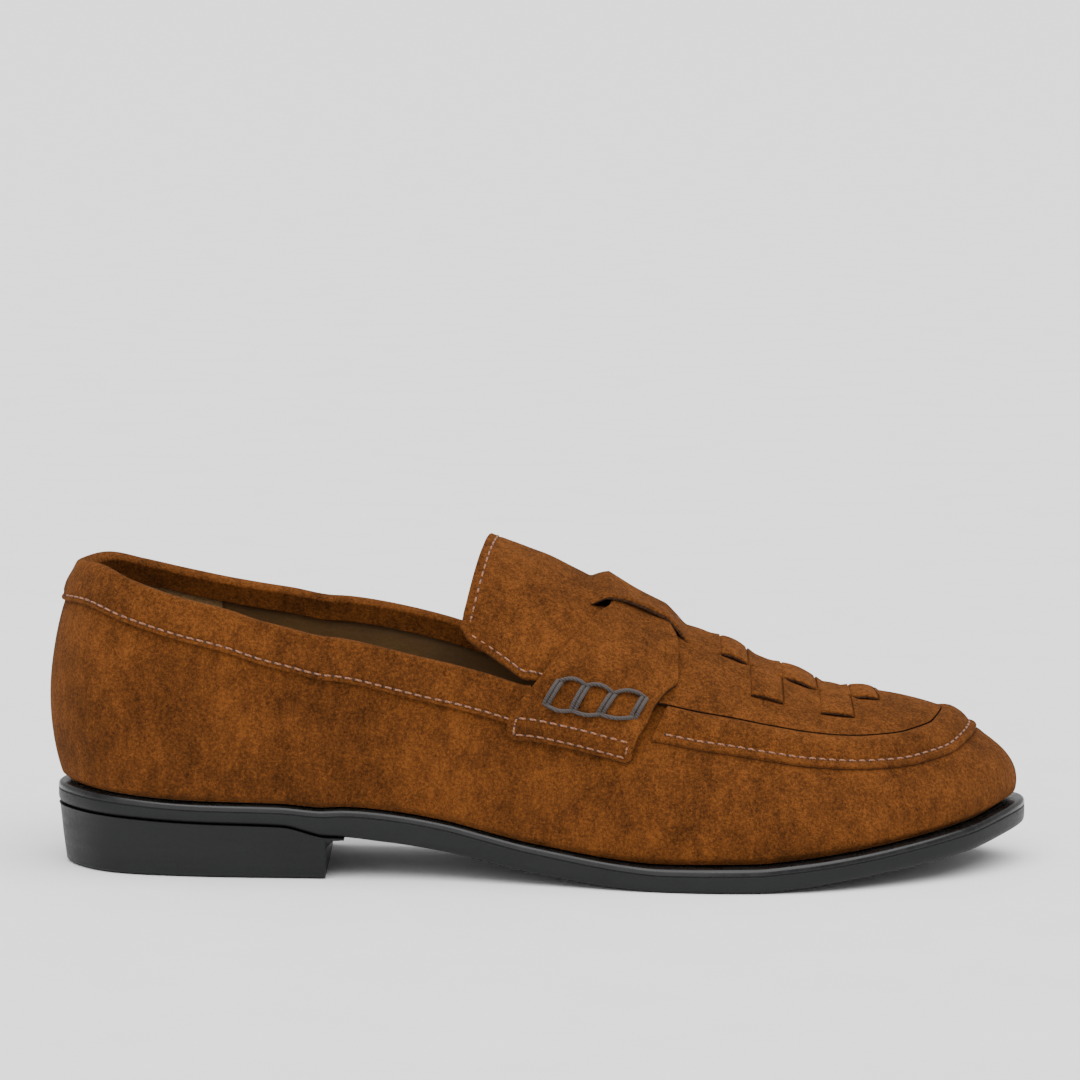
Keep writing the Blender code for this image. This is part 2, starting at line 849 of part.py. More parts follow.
def plug(finish):
    """Plug and tongue as one wall: raised woven strips and a bridge between two slits."""
    slit = PLUG_LINES.index(WEAVE_CENTRE - STEP)
    rows = plug_rows()
    body = Body()
    cells = []
    for side in SIDES:
        grid = []
        for share in rows:
            lean = TONGUE_LEAN * max(0.0, 1 - (share - TONGUE_BACK) / (THROAT - TONGUE_BACK))
            edge = plug_down(x_at(share - lean), side)
            row = []
            for line in PLUG_LINES:
                x = x_at(share - lean * line)
                base = GAP + (bridge_lift(share) if line < WEAVE_CENTRE else 0.0)
                relief = WEAVE_RELIEF if woven(share, line) else 0.0
                row.append(
                    (
                        down_side(x, side, edge * line, base + SUEDE + relief),
                        down_side(x, side, edge * line, base),
                    )
                )
            grid.append(row)

        def closed(i, j):
            lifted = bridge_lift(rows[i]) + bridge_lift(rows[i + 1]) > 0
            return j != slit or not lifted

        cells += [c if side < 0 else c[::-1] for c in grid_cells(grid, closed)]
    body.sheets(cells)
    return body.make("plug_and_tongue", finish)


def apron_band(finish):
    """Raised band with a rounded back, which rings the plug."""
    start = SEAM[0][0] + BAND_START
    shares = [start, start + 0.014] + [
        share_at(x) for x in FEATHER.stations() if share_at(x) > start + 0.03
    ]
    body = Body()
    cells = []
    for side in SIDES:
        grid = []
        for k, share in enumerate(shares):
            lean = BAND_LEAN * max(0.0, 1 - k / 4)
            row = []
            for part, height in BAND_PROFILE:
                x = x_at(share + lean * part)
                low = seam_down(x, side)
                away = low - (BAND_WIDTH - GAP) * part
                row.append(
                    (
                        down_side(x, side, away, GAP + BAND_THICKNESS * height),
                        down_side(x, side, away, GAP),
                    )
                )
            grid.append(row)
        cells += [c if side < 0 else c[::-1] for c in grid_cells(grid)]
    body.sheets(cells)
    return body.make("apron_band", finish)


def strap_inside(down):
    """Height of the strap's inner face over the last at a place down the strap."""
    return (SUEDE + GAP + STRAP_GAP) * column(STRAP, 3, down)


def saddle_strap(finish):
    """One strap under the bridge, with a tab on each side."""
    across = (0.0, 0.08, 0.36, 0.64, 0.92, 1.0)
    body = Body()
    cells = []
    for side in SIDES:
        grid = []
        for down, rear, front, _ in STRAP:
            row = []
            for part in across:
                x = x_at(rear + (front - rear) * part)
                away = STRAP_REACH * down * wrap(x, side)
                inside = strap_inside(down)
                row.append(
                    (
                        down_side(x, side, away, inside + STRAP_THICKNESS),
                        down_side(x, side, away, inside),
                    )
                )
            grid.append(row)
        cells += [c if side > 0 else c[::-1] for c in grid_cells(grid)]
    body.sheets(cells)
    return body.make("saddle_strap", finish)


def lacing(name, side, finish):
    """Waxed cord on a tab: four bars joined by a cord along their tops and feet."""
    body = Body()
    parts = (0.0, LACING_CORD / LACING_HEIGHT, 1 - LACING_CORD / LACING_HEIGHT, 1.0)
    half = LACING_BAR / 2 / LENGTH
    bars = list(zip(LACING_TOP, LACING_LOW))
    grid = []
    for top, low in bars:
        for offset in (-half, half):
            row = []
            for part in parts:
                x = x_at(top + (low - top) * part + offset)
                away = (LACING_REACH + LACING_HEIGHT * part) * wrap(x, side)
                base = strap_inside(0.0) + STRAP_THICKNESS + GAP
                row.append(
                    (
                        down_side(x, side, away, base + LACING_CORD),
                        down_side(x, side, away, base),
                    )
                )
            grid.append(row)
    body.sheets(grid_cells(grid, lambda i, j: i % 2 == 0 or j != 1))
    return body.make(name, finish)


def main():
    for item in list(bpy.data.objects):
        bpy.data.objects.remove(item, do_unlink=True)
    suede = material("suede", (0.20, 0.065, 0.016), 0.95)
    rubber = material("sole_rubber", (0.018, 0.018, 0.018), 0.5)
    lining = material("lining_leather", (0.36, 0.21, 0.09), 0.6)
    cord = material("waxed_cord", (0.045, 0.03, 0.025), 0.7)
    outsole(rubber)
    heel(rubber)
    insole(lining)
    upper(suede)
    collar(suede)
    plug(suede)
    apron_band(suede)
    saddle_strap(suede)
    lacing("lacing_outer", -1, cord)
    lacing("lacing_inner", 1, cord)


main()
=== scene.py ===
"""Looks of the right suede loafer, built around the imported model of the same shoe.

Metres. The shoe stands on z = 0, +X runs to the toe and +Y to the inner side. The last,
its tables and the lines on it are the part's own, read here at a finer step.
"""

import bisect
import math

import bmesh
import bpy
import numpy as np
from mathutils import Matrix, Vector


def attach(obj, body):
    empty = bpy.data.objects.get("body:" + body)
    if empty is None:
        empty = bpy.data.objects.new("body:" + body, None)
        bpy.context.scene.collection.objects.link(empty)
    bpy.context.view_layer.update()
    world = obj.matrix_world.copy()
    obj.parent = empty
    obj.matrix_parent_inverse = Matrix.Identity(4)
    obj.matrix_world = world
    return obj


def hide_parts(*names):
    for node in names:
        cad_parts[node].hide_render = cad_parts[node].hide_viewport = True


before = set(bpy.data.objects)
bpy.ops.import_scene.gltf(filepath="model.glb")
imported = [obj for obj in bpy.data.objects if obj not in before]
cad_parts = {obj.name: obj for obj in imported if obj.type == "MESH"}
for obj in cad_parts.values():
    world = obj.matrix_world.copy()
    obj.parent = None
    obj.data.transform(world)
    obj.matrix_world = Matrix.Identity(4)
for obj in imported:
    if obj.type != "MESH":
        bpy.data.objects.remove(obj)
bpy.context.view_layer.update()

MM = 0.001

# Overall sizes
LENGTH = 263 * MM
BALL_WIDTH = 91 * MM
HEEL_HEIGHT = 16.4 * MM
ARCH_RISE = 11.8 * MM
TOE_SPRING = 10.3 * MM
SOLE_THICKNESS = 6.7 * MM
BACK_HEIGHT = 61 * MM
INSTEP_HEIGHT = 76 * MM
BACK_OVERHANG = 1.1 * MM

# Walls and clearances
UPPER_WALL = 2.0 * MM
GAP = 0.3 * MM
SUEDE = 1.3 * MM

# Sole and heel
WELT_LEDGE = 3.6 * MM
HEEL_LENGTH = 73.6 * MM
HEEL_TAPER = 2.0 * MM
HEEL_TOP_INSET = 0.4 * MM
BREAST_FILLET = 5.2 * MM
FILLET_LIP = 0.4 * MM
INSOLE_THICKNESS = 2.5 * MM

# Pieces on the upper
COLLAR_DEPTH = 10.5 * MM
COLLAR_LINING = 5.25 * MM
COLLAR_THICKNESS = 0.9 * MM
BAND_WIDTH = 11 * MM
BAND_THICKNESS = 2.3 * MM
BAND_START = 0.006
BAND_LEAN = 0.017
TONGUE_HALF = 40.5 * MM
TONGUE_CLEARANCE = 1.2 * MM
TONGUE_STEP = 0.03
TONGUE_BACK = 0.444
TONGUE_LEAN = 0.027
STRAP_REACH = 63 * MM
STRAP_THICKNESS = 1.5 * MM
STRAP_GAP = 0.4 * MM
WEAVE_CENTRE = 0.35
WEAVE_SIDE = 0.73
LACING_REACH = 42.5 * MM

# Last
HEEL_CENTRE = 29 * MM
TOE_CENTRE = 35 * MM
FAN_SOFTNESS = 9 * MM

# Mesh fineness
STATIONS = 420
GIRTH_ROWS = 150
DENSE = 60

# The outsole's outline. Columns: along (share of LENGTH), across (share of half the
# BALL_WIDTH, + inner). It starts at the back and runs forward on the outer side.
OUTLINE = (
    (0.000, 0.14),
    (0.020, -0.16),
    (0.065, -0.385),
    (0.150, -0.505),
    (0.270, -0.560),
    (0.380, -0.590),
    (0.500, -0.755),
    (0.600, -0.930),
    (0.690, -1.000),
    (0.780, -0.945),
    (0.860, -0.755),
    (0.930, -0.490),
    (0.980, -0.150),
    (1.000, 0.170),
    (0.985, 0.420),
    (0.930, 0.720),
    (0.840, 0.925),
    (0.735, 1.000),
    (0.630, 0.870),
    (0.520, 0.640),
    (0.420, 0.550),
    (0.320, 0.620),
    (0.220, 0.760),
    (0.130, 0.810),
    (0.060, 0.680),
    (0.018, 0.450),
)

# Underside of the outsole. Columns: along, seat (share of HEEL_HEIGHT), arch (share of
# ARCH_RISE), spring (share of TOE_SPRING), thickness (share of SOLE_THICKNESS).
SOLE = (
    (0.000, 1.00, 0.00, 0.00, 0.88),
    (0.140, 0.915, 0.00, 0.00, 0.79),
    (0.235, 0.88, 0.00, 0.00, 0.81),
    (0.285, 0.00, 0.99, 0.00, 1.10),
    (0.340, 0.00, 0.87, 0.00, 1.21),
    (0.400, 0.00, 0.68, 0.00, 1.18),
    (0.443, 0.00, 0.49, 0.00, 1.13),
    (0.490, 0.00, 0.28, 0.00, 1.10),
    (0.583, 0.00, 0.04, 0.00, 1.00),
    (0.620, 0.00, 0.00, 0.00, 0.97),
    (0.710, 0.00, 0.00, 0.00, 1.00),
    (0.745, 0.00, 0.00, 0.07, 0.99),
    (0.823, 0.00, 0.00, 0.31, 0.94),
    (0.878, 0.00, 0.00, 0.48, 0.98),
    (0.933, 0.00, 0.00, 0.68, 1.02),
    (1.000, 0.00, 0.00, 1.00, 1.02),
)

# The outsole's ledge around the upper. Columns: along, width (share of WELT_LEDGE).
LEDGE = (
    (0.000, 0.50),
    (0.050, 0.30),
    (0.120, 0.17),
    (0.450, 0.17),
    (0.540, 0.45),
    (0.630, 0.90),
    (0.700, 1.00),
    (1.000, 0.95),
)

# The last's ridge. Columns: along, height over the sole's top (share of
# INSTEP_HEIGHT), across (share of half the BALL_WIDTH).
RIDGE = (
    (0.110, 1.12, 0.145),
    (0.224, 1.13, 0.140),
    (0.338, 1.10, 0.130),
    (0.395, 1.055, 0.120),
    (0.446, 1.00, 0.115),
    (0.487, 0.985, 0.110),
    (0.528, 0.945, 0.110),
    (0.569, 0.885, 0.110),
    (0.631, 0.785, 0.115),
    (0.673, 0.732, 0.120),
    (0.713, 0.664, 0.125),
    (0.752, 0.598, 0.130),
    (0.794, 0.525, 0.135),
    (0.836, 0.485, 0.140),
    (0.880, 0.450, 0.150),
)

# Half sections of the last as one cubic from feather edge to ridge. Columns: along,
# bulge (share of half the BALL_WIDTH past the feather edge), rise (share of
# INSTEP_HEIGHT), reach (share of the section's half width), drop (share of
# INSTEP_HEIGHT under the ridge).
SECTION = (
    (0.010, 0.190, 0.285, 1.12, 0.185),
    (0.100, 0.150, 0.290, 1.08, 0.185),
    (0.250, 0.130, 0.290, 1.05, 0.180),
    (0.380, 0.110, 0.290, 0.98, 0.120),
    (0.450, 0.100, 0.290, 0.85, 0.045),
    (0.550, 0.095, 0.280, 0.74, 0.030),
    (0.640, 0.095, 0.230, 0.66, 0.022),
    (0.720, 0.090, 0.185, 0.61, 0.018),
    (0.850, 0.090, 0.165, 0.60, 0.010),
    (0.970, 0.140, 0.160, 0.62, 0.004),
)

# Top edge of the collar. Columns: along, outer and inner side's height over the
# sole's top (shares of BACK_HEIGHT).
TOPLINE = (
    (0.020, 0.985, 0.985),
    (0.045, 1.000, 1.000),
    (0.083, 0.955, 0.965),
    (0.126, 0.908, 0.925),
    (0.180, 0.858, 0.880),
    (0.221, 0.806, 0.855),
    (0.286, 0.758, 0.830),
    (0.387, 0.705, 0.805),
    (0.440, 0.700, 0.785),
    (0.489, 0.688, 0.755),
)
TOPLINE_END = TOPLINE[-1][0]
THROAT = 0.560

# Seam of the apron band on the upper. Columns: along, height over the sole's top
# (share of INSTEP_HEIGHT).
SEAM = (
    (0.603, 0.422),
    (0.659, 0.390),
    (0.713, 0.356),
    (0.768, 0.309),
    (0.835, 0.265),
    (0.880, 0.249),
    (0.912, 0.250),
    (0.943, 0.276),
    (0.952, 0.285),
)

# Free edge of the tongue. Columns: along, distance from the ridge down the side
# (share of TONGUE_HALF).
TONGUE = (
    (0.417, 0.940),
    (0.425, 1.000),
    (0.441, 1.030),
    (0.461, 1.085),
    (0.489, 1.160),
    (0.540, 1.120),
    (0.603, 0.985),
)

# Front and rear edge of the saddle strap from the bridge down to its tab. Columns:
# down (share of STRAP_REACH), rear edge and front edge (along), height of its inside
# over the last (share of the plug's and the collar's thickness).
STRAP = (
    (0.000, 0.570, 0.612, 1.00),
    (0.110, 0.569, 0.612, 1.00),
    (0.205, 0.568, 0.614, 1.00),
    (0.240, 0.567, 0.634, 1.00),
    (0.305, 0.556, 0.635, 1.00),
    (0.370, 0.545, 0.636, 1.00),
    (0.480, 0.532, 0.633, 1.00),
    (0.570, 0.518, 0.622, 1.00),
    (0.680, 0.502, 0.610, 1.00),
    (0.780, 0.487, 0.603, 1.00),
    (0.860, 0.475, 0.597, 1.00),
    (0.930, 0.467, 0.592, 0.96),
    (1.000, 0.464, 0.587, 0.16),
)

# Cross edges of the woven cells along the plug, and the places of the lacing's bars.
WEAVE_EDGES = (0.681, 0.710, 0.745, 0.783, 0.821, 0.862)
LACING_TOP = (0.518, 0.544, 0.5705, 0.6005)
LACING_LOW = (0.504, 0.531, 0.558, 0.590)

OUTER, INNER = -1, 1
SIDES = (OUTER, INNER)
SHIFT = (LENGTH - BACK_OVERHANG) / 2
HALF_BALL = BALL_WIDTH / 2


def column(rows, index, share):
    """One column of a table at a share along the shoe: a cubic that never overshoots."""
    knots = [row[0] for row in rows]
    values = [row[index] for row in rows]
    if share <= knots[0]:
        return values[0]
    if share >= knots[-1]:
        return values[-1]
    k = bisect.bisect_right(knots, share) - 1
    width = knots[k + 1] - knots[k]

    def tangent(i):
        if i == 0 or i == len(knots) - 1:
            return 0.0
        before = (values[i] - values[i - 1]) / (knots[i] - knots[i - 1])
        after = (values[i + 1] - values[i]) / (knots[i + 1] - knots[i])
        if before * after <= 0:
            return 0.0
        return 2 * before * after / (before + after)

    s = (share - knots[k]) / width
    start, end = tangent(k) * width, tangent(k + 1) * width
    return (
        values[k] * (1 + 2 * s) * (1 - s) ** 2
        + start * s * (1 - s) ** 2
        + values[k + 1] * s * s * (3 - 2 * s)
        - end * s * s * (1 - s)
    )


def x_at(share):
    return share * LENGTH - SHIFT


def share_at(x):
    return (x + SHIFT) / LENGTH


def sole_under(x):
    share = share_at(x)
    return (
        HEEL_HEIGHT * column(SOLE, 1, share)
        + ARCH_RISE * column(SOLE, 2, share)
        + TOE_SPRING * column(SOLE, 3, share)
    )


def sole_top(x):
    return sole_under(x) + SOLE_THICKNESS * column(SOLE, 4, share_at(x))


def outline_loop():
    """Dense points of the outsole's outline, a closed smooth curve through OUTLINE."""
    rows = np.array([(x_at(a), b * HALF_BALL) for a, b in OUTLINE])
    count = len(rows)
    points = []
    for i in range(count):
        p0, p1, p2, p3 = (rows[(i + k - 1) % count] for k in range(4))
        for s in np.linspace(0, 1, DENSE, endpoint=False):
            points.append(
                0.5
                * (
                    2 * p1
                    + (p2 - p0) * s
                    + (2 * p0 - 5 * p1 + 4 * p2 - p3) * s**2
                    + (3 * p1 - p0 - 3 * p2 + p3) * s**3
                )
            )
    return np.array(points)


LOOP = outline_loop()


class Rim:
    """The outline moved inwards, read as two sides that run from back to toe."""

    def __init__(self, inset):
        ahead = np.roll(LOOP, -1, axis=0) - np.roll(LOOP, 1, axis=0)
        ahead /= np.linalg.norm(ahead, axis=1)[:, None]
        inward = np.stack([-ahead[:, 1], ahead[:, 0]], axis=1)
        amounts = np.array([inset(share_at(p[0])) for p in LOOP])
        loop = LOOP + inward * amounts[:, None]
        back, toe = int(loop[:, 0].argmin()), int(loop[:, 0].argmax())
        loop = np.roll(loop, -back, axis=0)
        toe = (toe - back) % len(loop)
        outer = loop[: toe + 1]
        inner = np.vstack([loop[toe:], loop[:1]])[::-1]
        self.sides = {-1: self.rising(outer), 1: self.rising(inner)}
        self.back, self.toe = outer[0][0], outer[-1][0]

    @staticmethod
    def rising(points):
        keep = [points[0]]
        for point in points[1:]:
            if point[0] > keep[-1][0] + 1e-9:
                keep.append(point)
        return np.array(keep)

    def y(self, side, x):
        points = self.sides[side]
        return float(np.interp(x, points[:, 0], points[:, 1]))

    def stations(self, count=STATIONS):
        """Places along the shoe, close together where the ends are round."""
        turn = [math.pi * k / count for k in range(count + 1)]
        return [self.back + (self.toe - self.back) * (1 - math.cos(a)) / 2 for a in turn]


def ledge(share):
    """Width of the outsole's ledge around the upper."""
    return WELT_LEDGE * column(LEDGE, 1, share)


FEATHER = Rim(ledge)


def soft_least(a, b):
    return 0.5 * (a + b - math.hypot(a - b, FAN_SOFTNESS))


def ridge_height(x):
    """The last's own ridge, which carries the plug."""
    return sole_top(x) + INSTEP_HEIGHT * column(RIDGE, 1, share_at(x)) - GAP - SUEDE


def ridge_slope(x):
    step = 2 * MM
    return (ridge_height(x + step) - ridge_height(x - step)) / (2 * step)


class Section:
    """Half a section of the last, one cubic from the feather edge up to the ridge.

    Its t runs from 0 at the feather edge to 1 at the ridge. Heel and toe are fans of
    such sections around a centre of their own.
    """

    SAMPLES = np.linspace(0, 1, 81)

    def __init__(self, x, side):
        x = min(max(x, FEATHER.back), FEATHER.toe)
        foot = np.array([x, FEATHER.y(side, x)])
        heel, toe = FEATHER.back + HEEL_CENTRE, FEATHER.toe - TOE_CENTRE
        centre_x = -soft_least(-soft_least(x, toe), -heel)
        across = HALF_BALL * column(RIDGE, 2, share_at(centre_x))
        centre = np.array([centre_x, across])
        spoke = foot - centre
        reach = float(np.linalg.norm(spoke))
        spoke /= reach
        own = share_at(x)
        low, ridge = sole_top(x) + GAP, ridge_height(centre_x)
        shoulder = reach * column(SECTION, 3, own)
        slope = ridge_slope(centre_x)
        fall = INSTEP_HEIGHT * column(SECTION, 4, own) - slope * spoke[0] * shoulder
        bulge = reach + HALF_BALL * column(SECTION, 1, own)
        rise = low + INSTEP_HEIGHT * column(SECTION, 2, own)
        out = (reach, bulge, shoulder, 0.0)
        up = (low, rise, ridge - fall, ridge)
        self.poles = np.array([[*(centre + spoke * r), z] for r, z in zip(out, up)])
        self.crown = np.array([-slope, 0.0, 1.0]) / math.hypot(slope, 1.0)
        self.points = self.at(self.SAMPLES)
        steps = np.linalg.norm(np.diff(self.points, axis=0), axis=1)
        self.arc = np.concatenate([[0.0], np.cumsum(steps)])
        self.girth = self.arc[-1]

    def at(self, t):
        t = np.asarray(t)[..., None]
        p = self.poles
        near = p[0] * (1 - t) ** 3 + 3 * p[1] * t * (1 - t) ** 2
        return near + 3 * p[2] * t * t * (1 - t) + p[3] * t**3

    def down(self, t):
        return self.girth - float(np.interp(t, self.SAMPLES, self.arc))

    def t_level(self, level):
        """The t at which the section first rises to level(x)."""
        over = self.points[:, 2] - np.array([level(x) for x in self.points[:, 0]])
        k = int(np.argmax(over > 0))
        if k == 0:
            return 1.0
        part = over[k - 1] / (over[k - 1] - over[k])
        return float(self.SAMPLES[k - 1] + part * (self.SAMPLES[k] - self.SAMPLES[k - 1]))


class Last:
    """The last's face: stations around the shoe by rows of equal steps down its girth."""

    def __init__(self):
        outer = [Section(x, OUTER) for x in FEATHER.stations()]
        inner = [Section(x, INNER) for x in FEATHER.stations()]
        around = outer + inner[-2:0:-1]
        self.count = len(around)
        self.middle = (FEATHER.back + FEATHER.toe) / 2
        self.half = (FEATHER.toe - FEATHER.back) / 2
        self.sections = {OUTER: outer, INNER: inner}
        self.girth = {s: np.array([own.girth for own in self.sections[s]]) for s in SIDES}
        shares = np.linspace(0, 1, GIRTH_ROWS + 1)
        self.places = np.array([self.rows(own, shares) for own in around])
        ahead = np.roll(self.places, -1, axis=0) - np.roll(self.places, 1, axis=0)
        falling = np.gradient(self.places, axis=1)
        normals = -np.cross(ahead, falling)
        normals[:, 0] = [own.crown for own in around]
        self.normals = normals / np.linalg.norm(normals, axis=2)[..., None]
        self.tops = {s: self.top_distances(s) for s in SIDES}
        self.seams = {s: self.seam_distances(s) for s in SIDES}

    @staticmethod
    def rows(own, shares):
        return own.at(np.interp(own.girth * (1 - shares), own.arc, own.SAMPLES))

    def turn(self, x):
        """Index of a place along the shoe among the stations, with a fraction."""
        angle = np.arccos(np.clip((self.middle - x) / self.half, -1, 1))
        return angle / math.pi * STATIONS

    def read(self, values, side, x):
        """Values held per station of a side, at any place along the shoe."""
        side, x = np.broadcast_arrays(side, np.asarray(x, float))
        turn, steps = self.turn(x), np.arange(STATIONS + 1)
        outer = np.interp(turn, steps, values[OUTER])
        return np.where(side < 0, outer, np.interp(turn, steps, values[INNER]))

    def top_distances(self, side):
        index = 1 if side == OUTER else 2

        def level(x):
            over = BACK_HEIGHT * column(TOPLINE, index, share_at(x))
            return sole_top(x) + over - GAP - COLLAR_THICKNESS

        found = []
        for own, x in zip(self.sections[side], FEATHER.stations()):
            share = share_at(x)
            part = (share - TOPLINE_END) / (THROAT - TOPLINE_END)
            if part >= 1:
                found.append(0.0)
            else:
                found.append(own.down(own.t_level(level)) * (1 - max(part, 0.0)))
        return np.array(found)

    def seam_distances(self, side):
        def level(x):
            return sole_top(x) + INSTEP_HEIGHT * column(SEAM, 1, share_at(x))

        found = [own.down(own.t_level(level)) for own in self.sections[OUTER]]
        return np.array(found) * self.girth[side] / self.girth[OUTER]

    def wrap(self, side, x):
        """Shortens distances from the ridge on the inner side, whose girth is less."""
        return self.read(self.girth, side, x) / self.read(self.girth, OUTER, x)

    def at(self, side, x, down, lift=0.0):
        """Points at a distance down from the ridge, raised from the last's face."""
        side, x, down, lift = np.broadcast_arrays(side, x, down, lift)
        turn = self.turn(x)
        turn = np.where(side < 0, turn, self.count - turn) % self.count
        row = np.clip(down / self.read(self.girth, side, x), 0, 1) * GIRTH_ROWS
        near, top = np.floor(turn).astype(int), np.floor(row).astype(int)
        far, low = (near + 1) % self.count, np.minimum(top + 1, GIRTH_ROWS)
        a, b = (turn - near)[..., None], (row - top)[..., None]
        near = near % self.count

        def mix(values):
            upper = values[near, top] * (1 - a) + values[far, top] * a
            lower = values[near, low] * (1 - a) + values[far, low] * a
            return upper * (1 - b) + lower * b

        normal = mix(self.normals)
        normal /= np.linalg.norm(normal, axis=-1)[..., None]
        return mix(self.places) + normal * lift[..., None]


LAST = Last()


def columns(rows, index, shares):
    """A table's column at an array of shares."""
    flat = [column(rows, index, float(s)) for s in np.ravel(shares)]
    return np.array(flat).reshape(np.shape(shares))


def seam_down(side, x):
    return LAST.read(LAST.seams, side, x)


def top_down(side, x):
    return LAST.read(LAST.tops, side, x)


def plug_down(side, x):
    """Distance from the ridge to the edge of the plug, or of the tongue behind it."""
    share = share_at(x)
    edge = TONGUE_HALF * columns(TONGUE, 1, share) * LAST.wrap(side, x)
    collar = top_down(side, np.minimum(x, x_at(TOPLINE_END)))
    clear = collar - GAP - COLLAR_THICKNESS - TONGUE_CLEARANCE
    edge = np.where(share < TOPLINE_END + TONGUE_STEP, np.minimum(edge, clear), edge)
    return np.where(share >= TONGUE[-1][0], seam_down(side, x) - BAND_WIDTH, edge)


def bump(distance, width):
    """A soft ridge of height 1 at distance 0."""
    return np.exp(-((np.asarray(distance) / width) ** 2))


def smooth(value, start, end):
    s = np.clip((value - start) / (end - start), 0, 1)
    return s * s * (3 - 2 * s)


def rounding(distance, radius):
    """How far a face lies under its full height near an edge that is rounded."""
    d = np.clip(distance, 0, radius)
    return radius - np.sqrt(radius**2 - (radius - d) ** 2)


def edge_steps(length, radius, count):
    """Steps from 0 to a length, close together at both rounded ends."""
    ends = np.array([0, 0.12, 0.35, 0.65, 1.0]) * radius
    middle = np.linspace(radius, length - radius, count)[1:-1]
    return np.concatenate([ends, middle, length - ends[::-1]])


class Shell:
    """Grids of outer and inner points, welded into one wall with rims on its edges."""

    def __init__(self):
        self.outer, self.inner, self.quads, self.size = [], [], [], 0

    def add(self, outer, inner, flip=False, keep=None):
        rows, cols = outer.shape[:2]
        index = np.arange(rows * cols).reshape(rows, cols) + self.size
        quads = np.stack(
            [index[:-1, :-1], index[:-1, 1:], index[1:, 1:], index[1:, :-1]], axis=-1
        )
        if keep is not None:
            quads = quads[keep]
        quads = quads.reshape(-1, 4)
        self.quads.append(quads[:, ::-1] if flip else quads)
        self.outer.append(outer.reshape(-1, 3))
        self.inner.append(inner.reshape(-1, 3))
        self.size += rows * cols

    def make(self, name, finishes, smooth_angle=50):
        """finishes are the materials of the outer face, the inner face and the rims."""
        outer, inner = np.concatenate(self.outer), np.concatenate(self.inner)
        keys = np.round(outer * 2e5).astype(np.int64)
        _, first, known = np.unique(keys, axis=0, return_index=True, return_inverse=True)
        known = known.ravel()
        count = len(first)
        places = np.concatenate([outer[first], inner[first]])
        faces, slots, edges = [], [], {}
        for quad in known[np.concatenate(self.quads)].tolist():
            ring = [v for k, v in enumerate(quad) if v != quad[k - 1]]
            if len(set(ring)) != len(ring) or len(ring) < 3:
                continue
            faces += [ring, [v + count for v in reversed(ring)]]
            slots += [0, 1]
            for k, start in enumerate(ring):
                edges[(start, ring[(k + 1) % len(ring)])] = True
        for start, end in edges:
            if (end, start) not in edges:
                faces.append([end, start, start + count, end + count])
                slots.append(2)
        return mesh_object(name, places, faces, finishes, slots, smooth_angle)


def mesh_object(name, places, faces, finishes, slots=None, smooth_angle=50):
    mesh = bpy.data.meshes.new(name)
    mesh.from_pydata([tuple(p) for p in places], [], faces)
    for finish in finishes:
        mesh.materials.append(finish)
    if slots is not None:
        mesh.polygons.foreach_set("material_index", slots)
    work = bmesh.new()
    work.from_mesh(mesh)
    loose = [v for v in work.verts if not v.link_faces]
    bmesh.ops.delete(work, geom=loose, context="VERTS")
    bmesh.ops.recalc_face_normals(work, faces=work.faces)
    work.to_mesh(mesh)
    work.free()
    mesh.shade_smooth()
    mesh.set_sharp_from_angle(angle=math.radians(smooth_angle))
    made = bpy.data.objects.new(name, mesh)
    bpy.context.collection.objects.link(made)
    return made


class Threads:
    """Short or long round threads, gathered in one mesh."""

    def __init__(self, sides=8):
        self.places, self.faces, self.sides = [], [], sides

    def tube(self, path, radius, closed=False):
        """A tube with rounded ends, or a closed ring, along a path of points."""
        path = np.asarray(path)
        radii = np.full(len(path), radius)
        if not closed:
            ahead = path[1] - path[0]
            behind = path[-2] - path[-1]
            ahead /= np.linalg.norm(ahead)
            behind /= np.linalg.norm(behind)
            path = np.vstack([path[0] - ahead * radius * 0.5, path])
            path = np.vstack([path, path[-1] - behind * radius * 0.5])
            radii = np.concatenate([[radius * 0.55], radii, [radius * 0.55]])
        if closed:
            along = np.roll(path, -1, axis=0) - np.roll(path, 1, axis=0)
        else:
            along = np.gradient(path, axis=0)
        along /= np.linalg.norm(along, axis=1)[:, None]
        side = np.cross(along, (0.31, 0.17, 0.93))
        side /= np.linalg.norm(side, axis=1)[:, None]
        up = np.cross(along, side)
        start = len(self.places)
        for k, place in enumerate(path):
            for i in range(self.sides):
                turn = 2 * math.pi * i / self.sides
                ring = side[k] * math.cos(turn) + up[k] * math.sin(turn)
                self.places.append(place + ring * radii[k])
        count = len(path)
        spans = count if closed else count - 1
        for k in range(spans):
            for i in range(self.sides):
                j, n = (i + 1) % self.sides, (k + 1) % count
                a, b = start + k * self.sides, start + n * self.sides
                self.faces.append([a + i, a + j, b + j, b + i])
        if not closed:
            self.faces.append([start + i for i in range(self.sides)])
            last = start + (count - 1) * self.sides
            self.faces.append([last + i for i in range(self.sides)])

    def make(self, name, finish):
        return mesh_object(name, self.places, self.faces, [finish], smooth_angle=60)


def on_face(side, shares, downs, lift):
    return LAST.at(side, x_at(np.asarray(shares)), np.asarray(downs), lift)


def resample(values, count):
    """Rows of a path at equal steps of their first two columns' length."""
    values = np.asarray(values, float)
    step = np.linalg.norm(np.diff(values[:, :3], axis=0), axis=1)
    length = np.concatenate([[0], np.cumsum(step)])
    wanted = np.linspace(0, length[-1], count)
    return np.stack([np.interp(wanted, length, c) for c in values.T], axis=1), length[-1]


STITCH_PITCH = 2.75 * MM
STITCH_LENGTH = 2.0 * MM
STITCH_RADIUS = 0.27 * MM


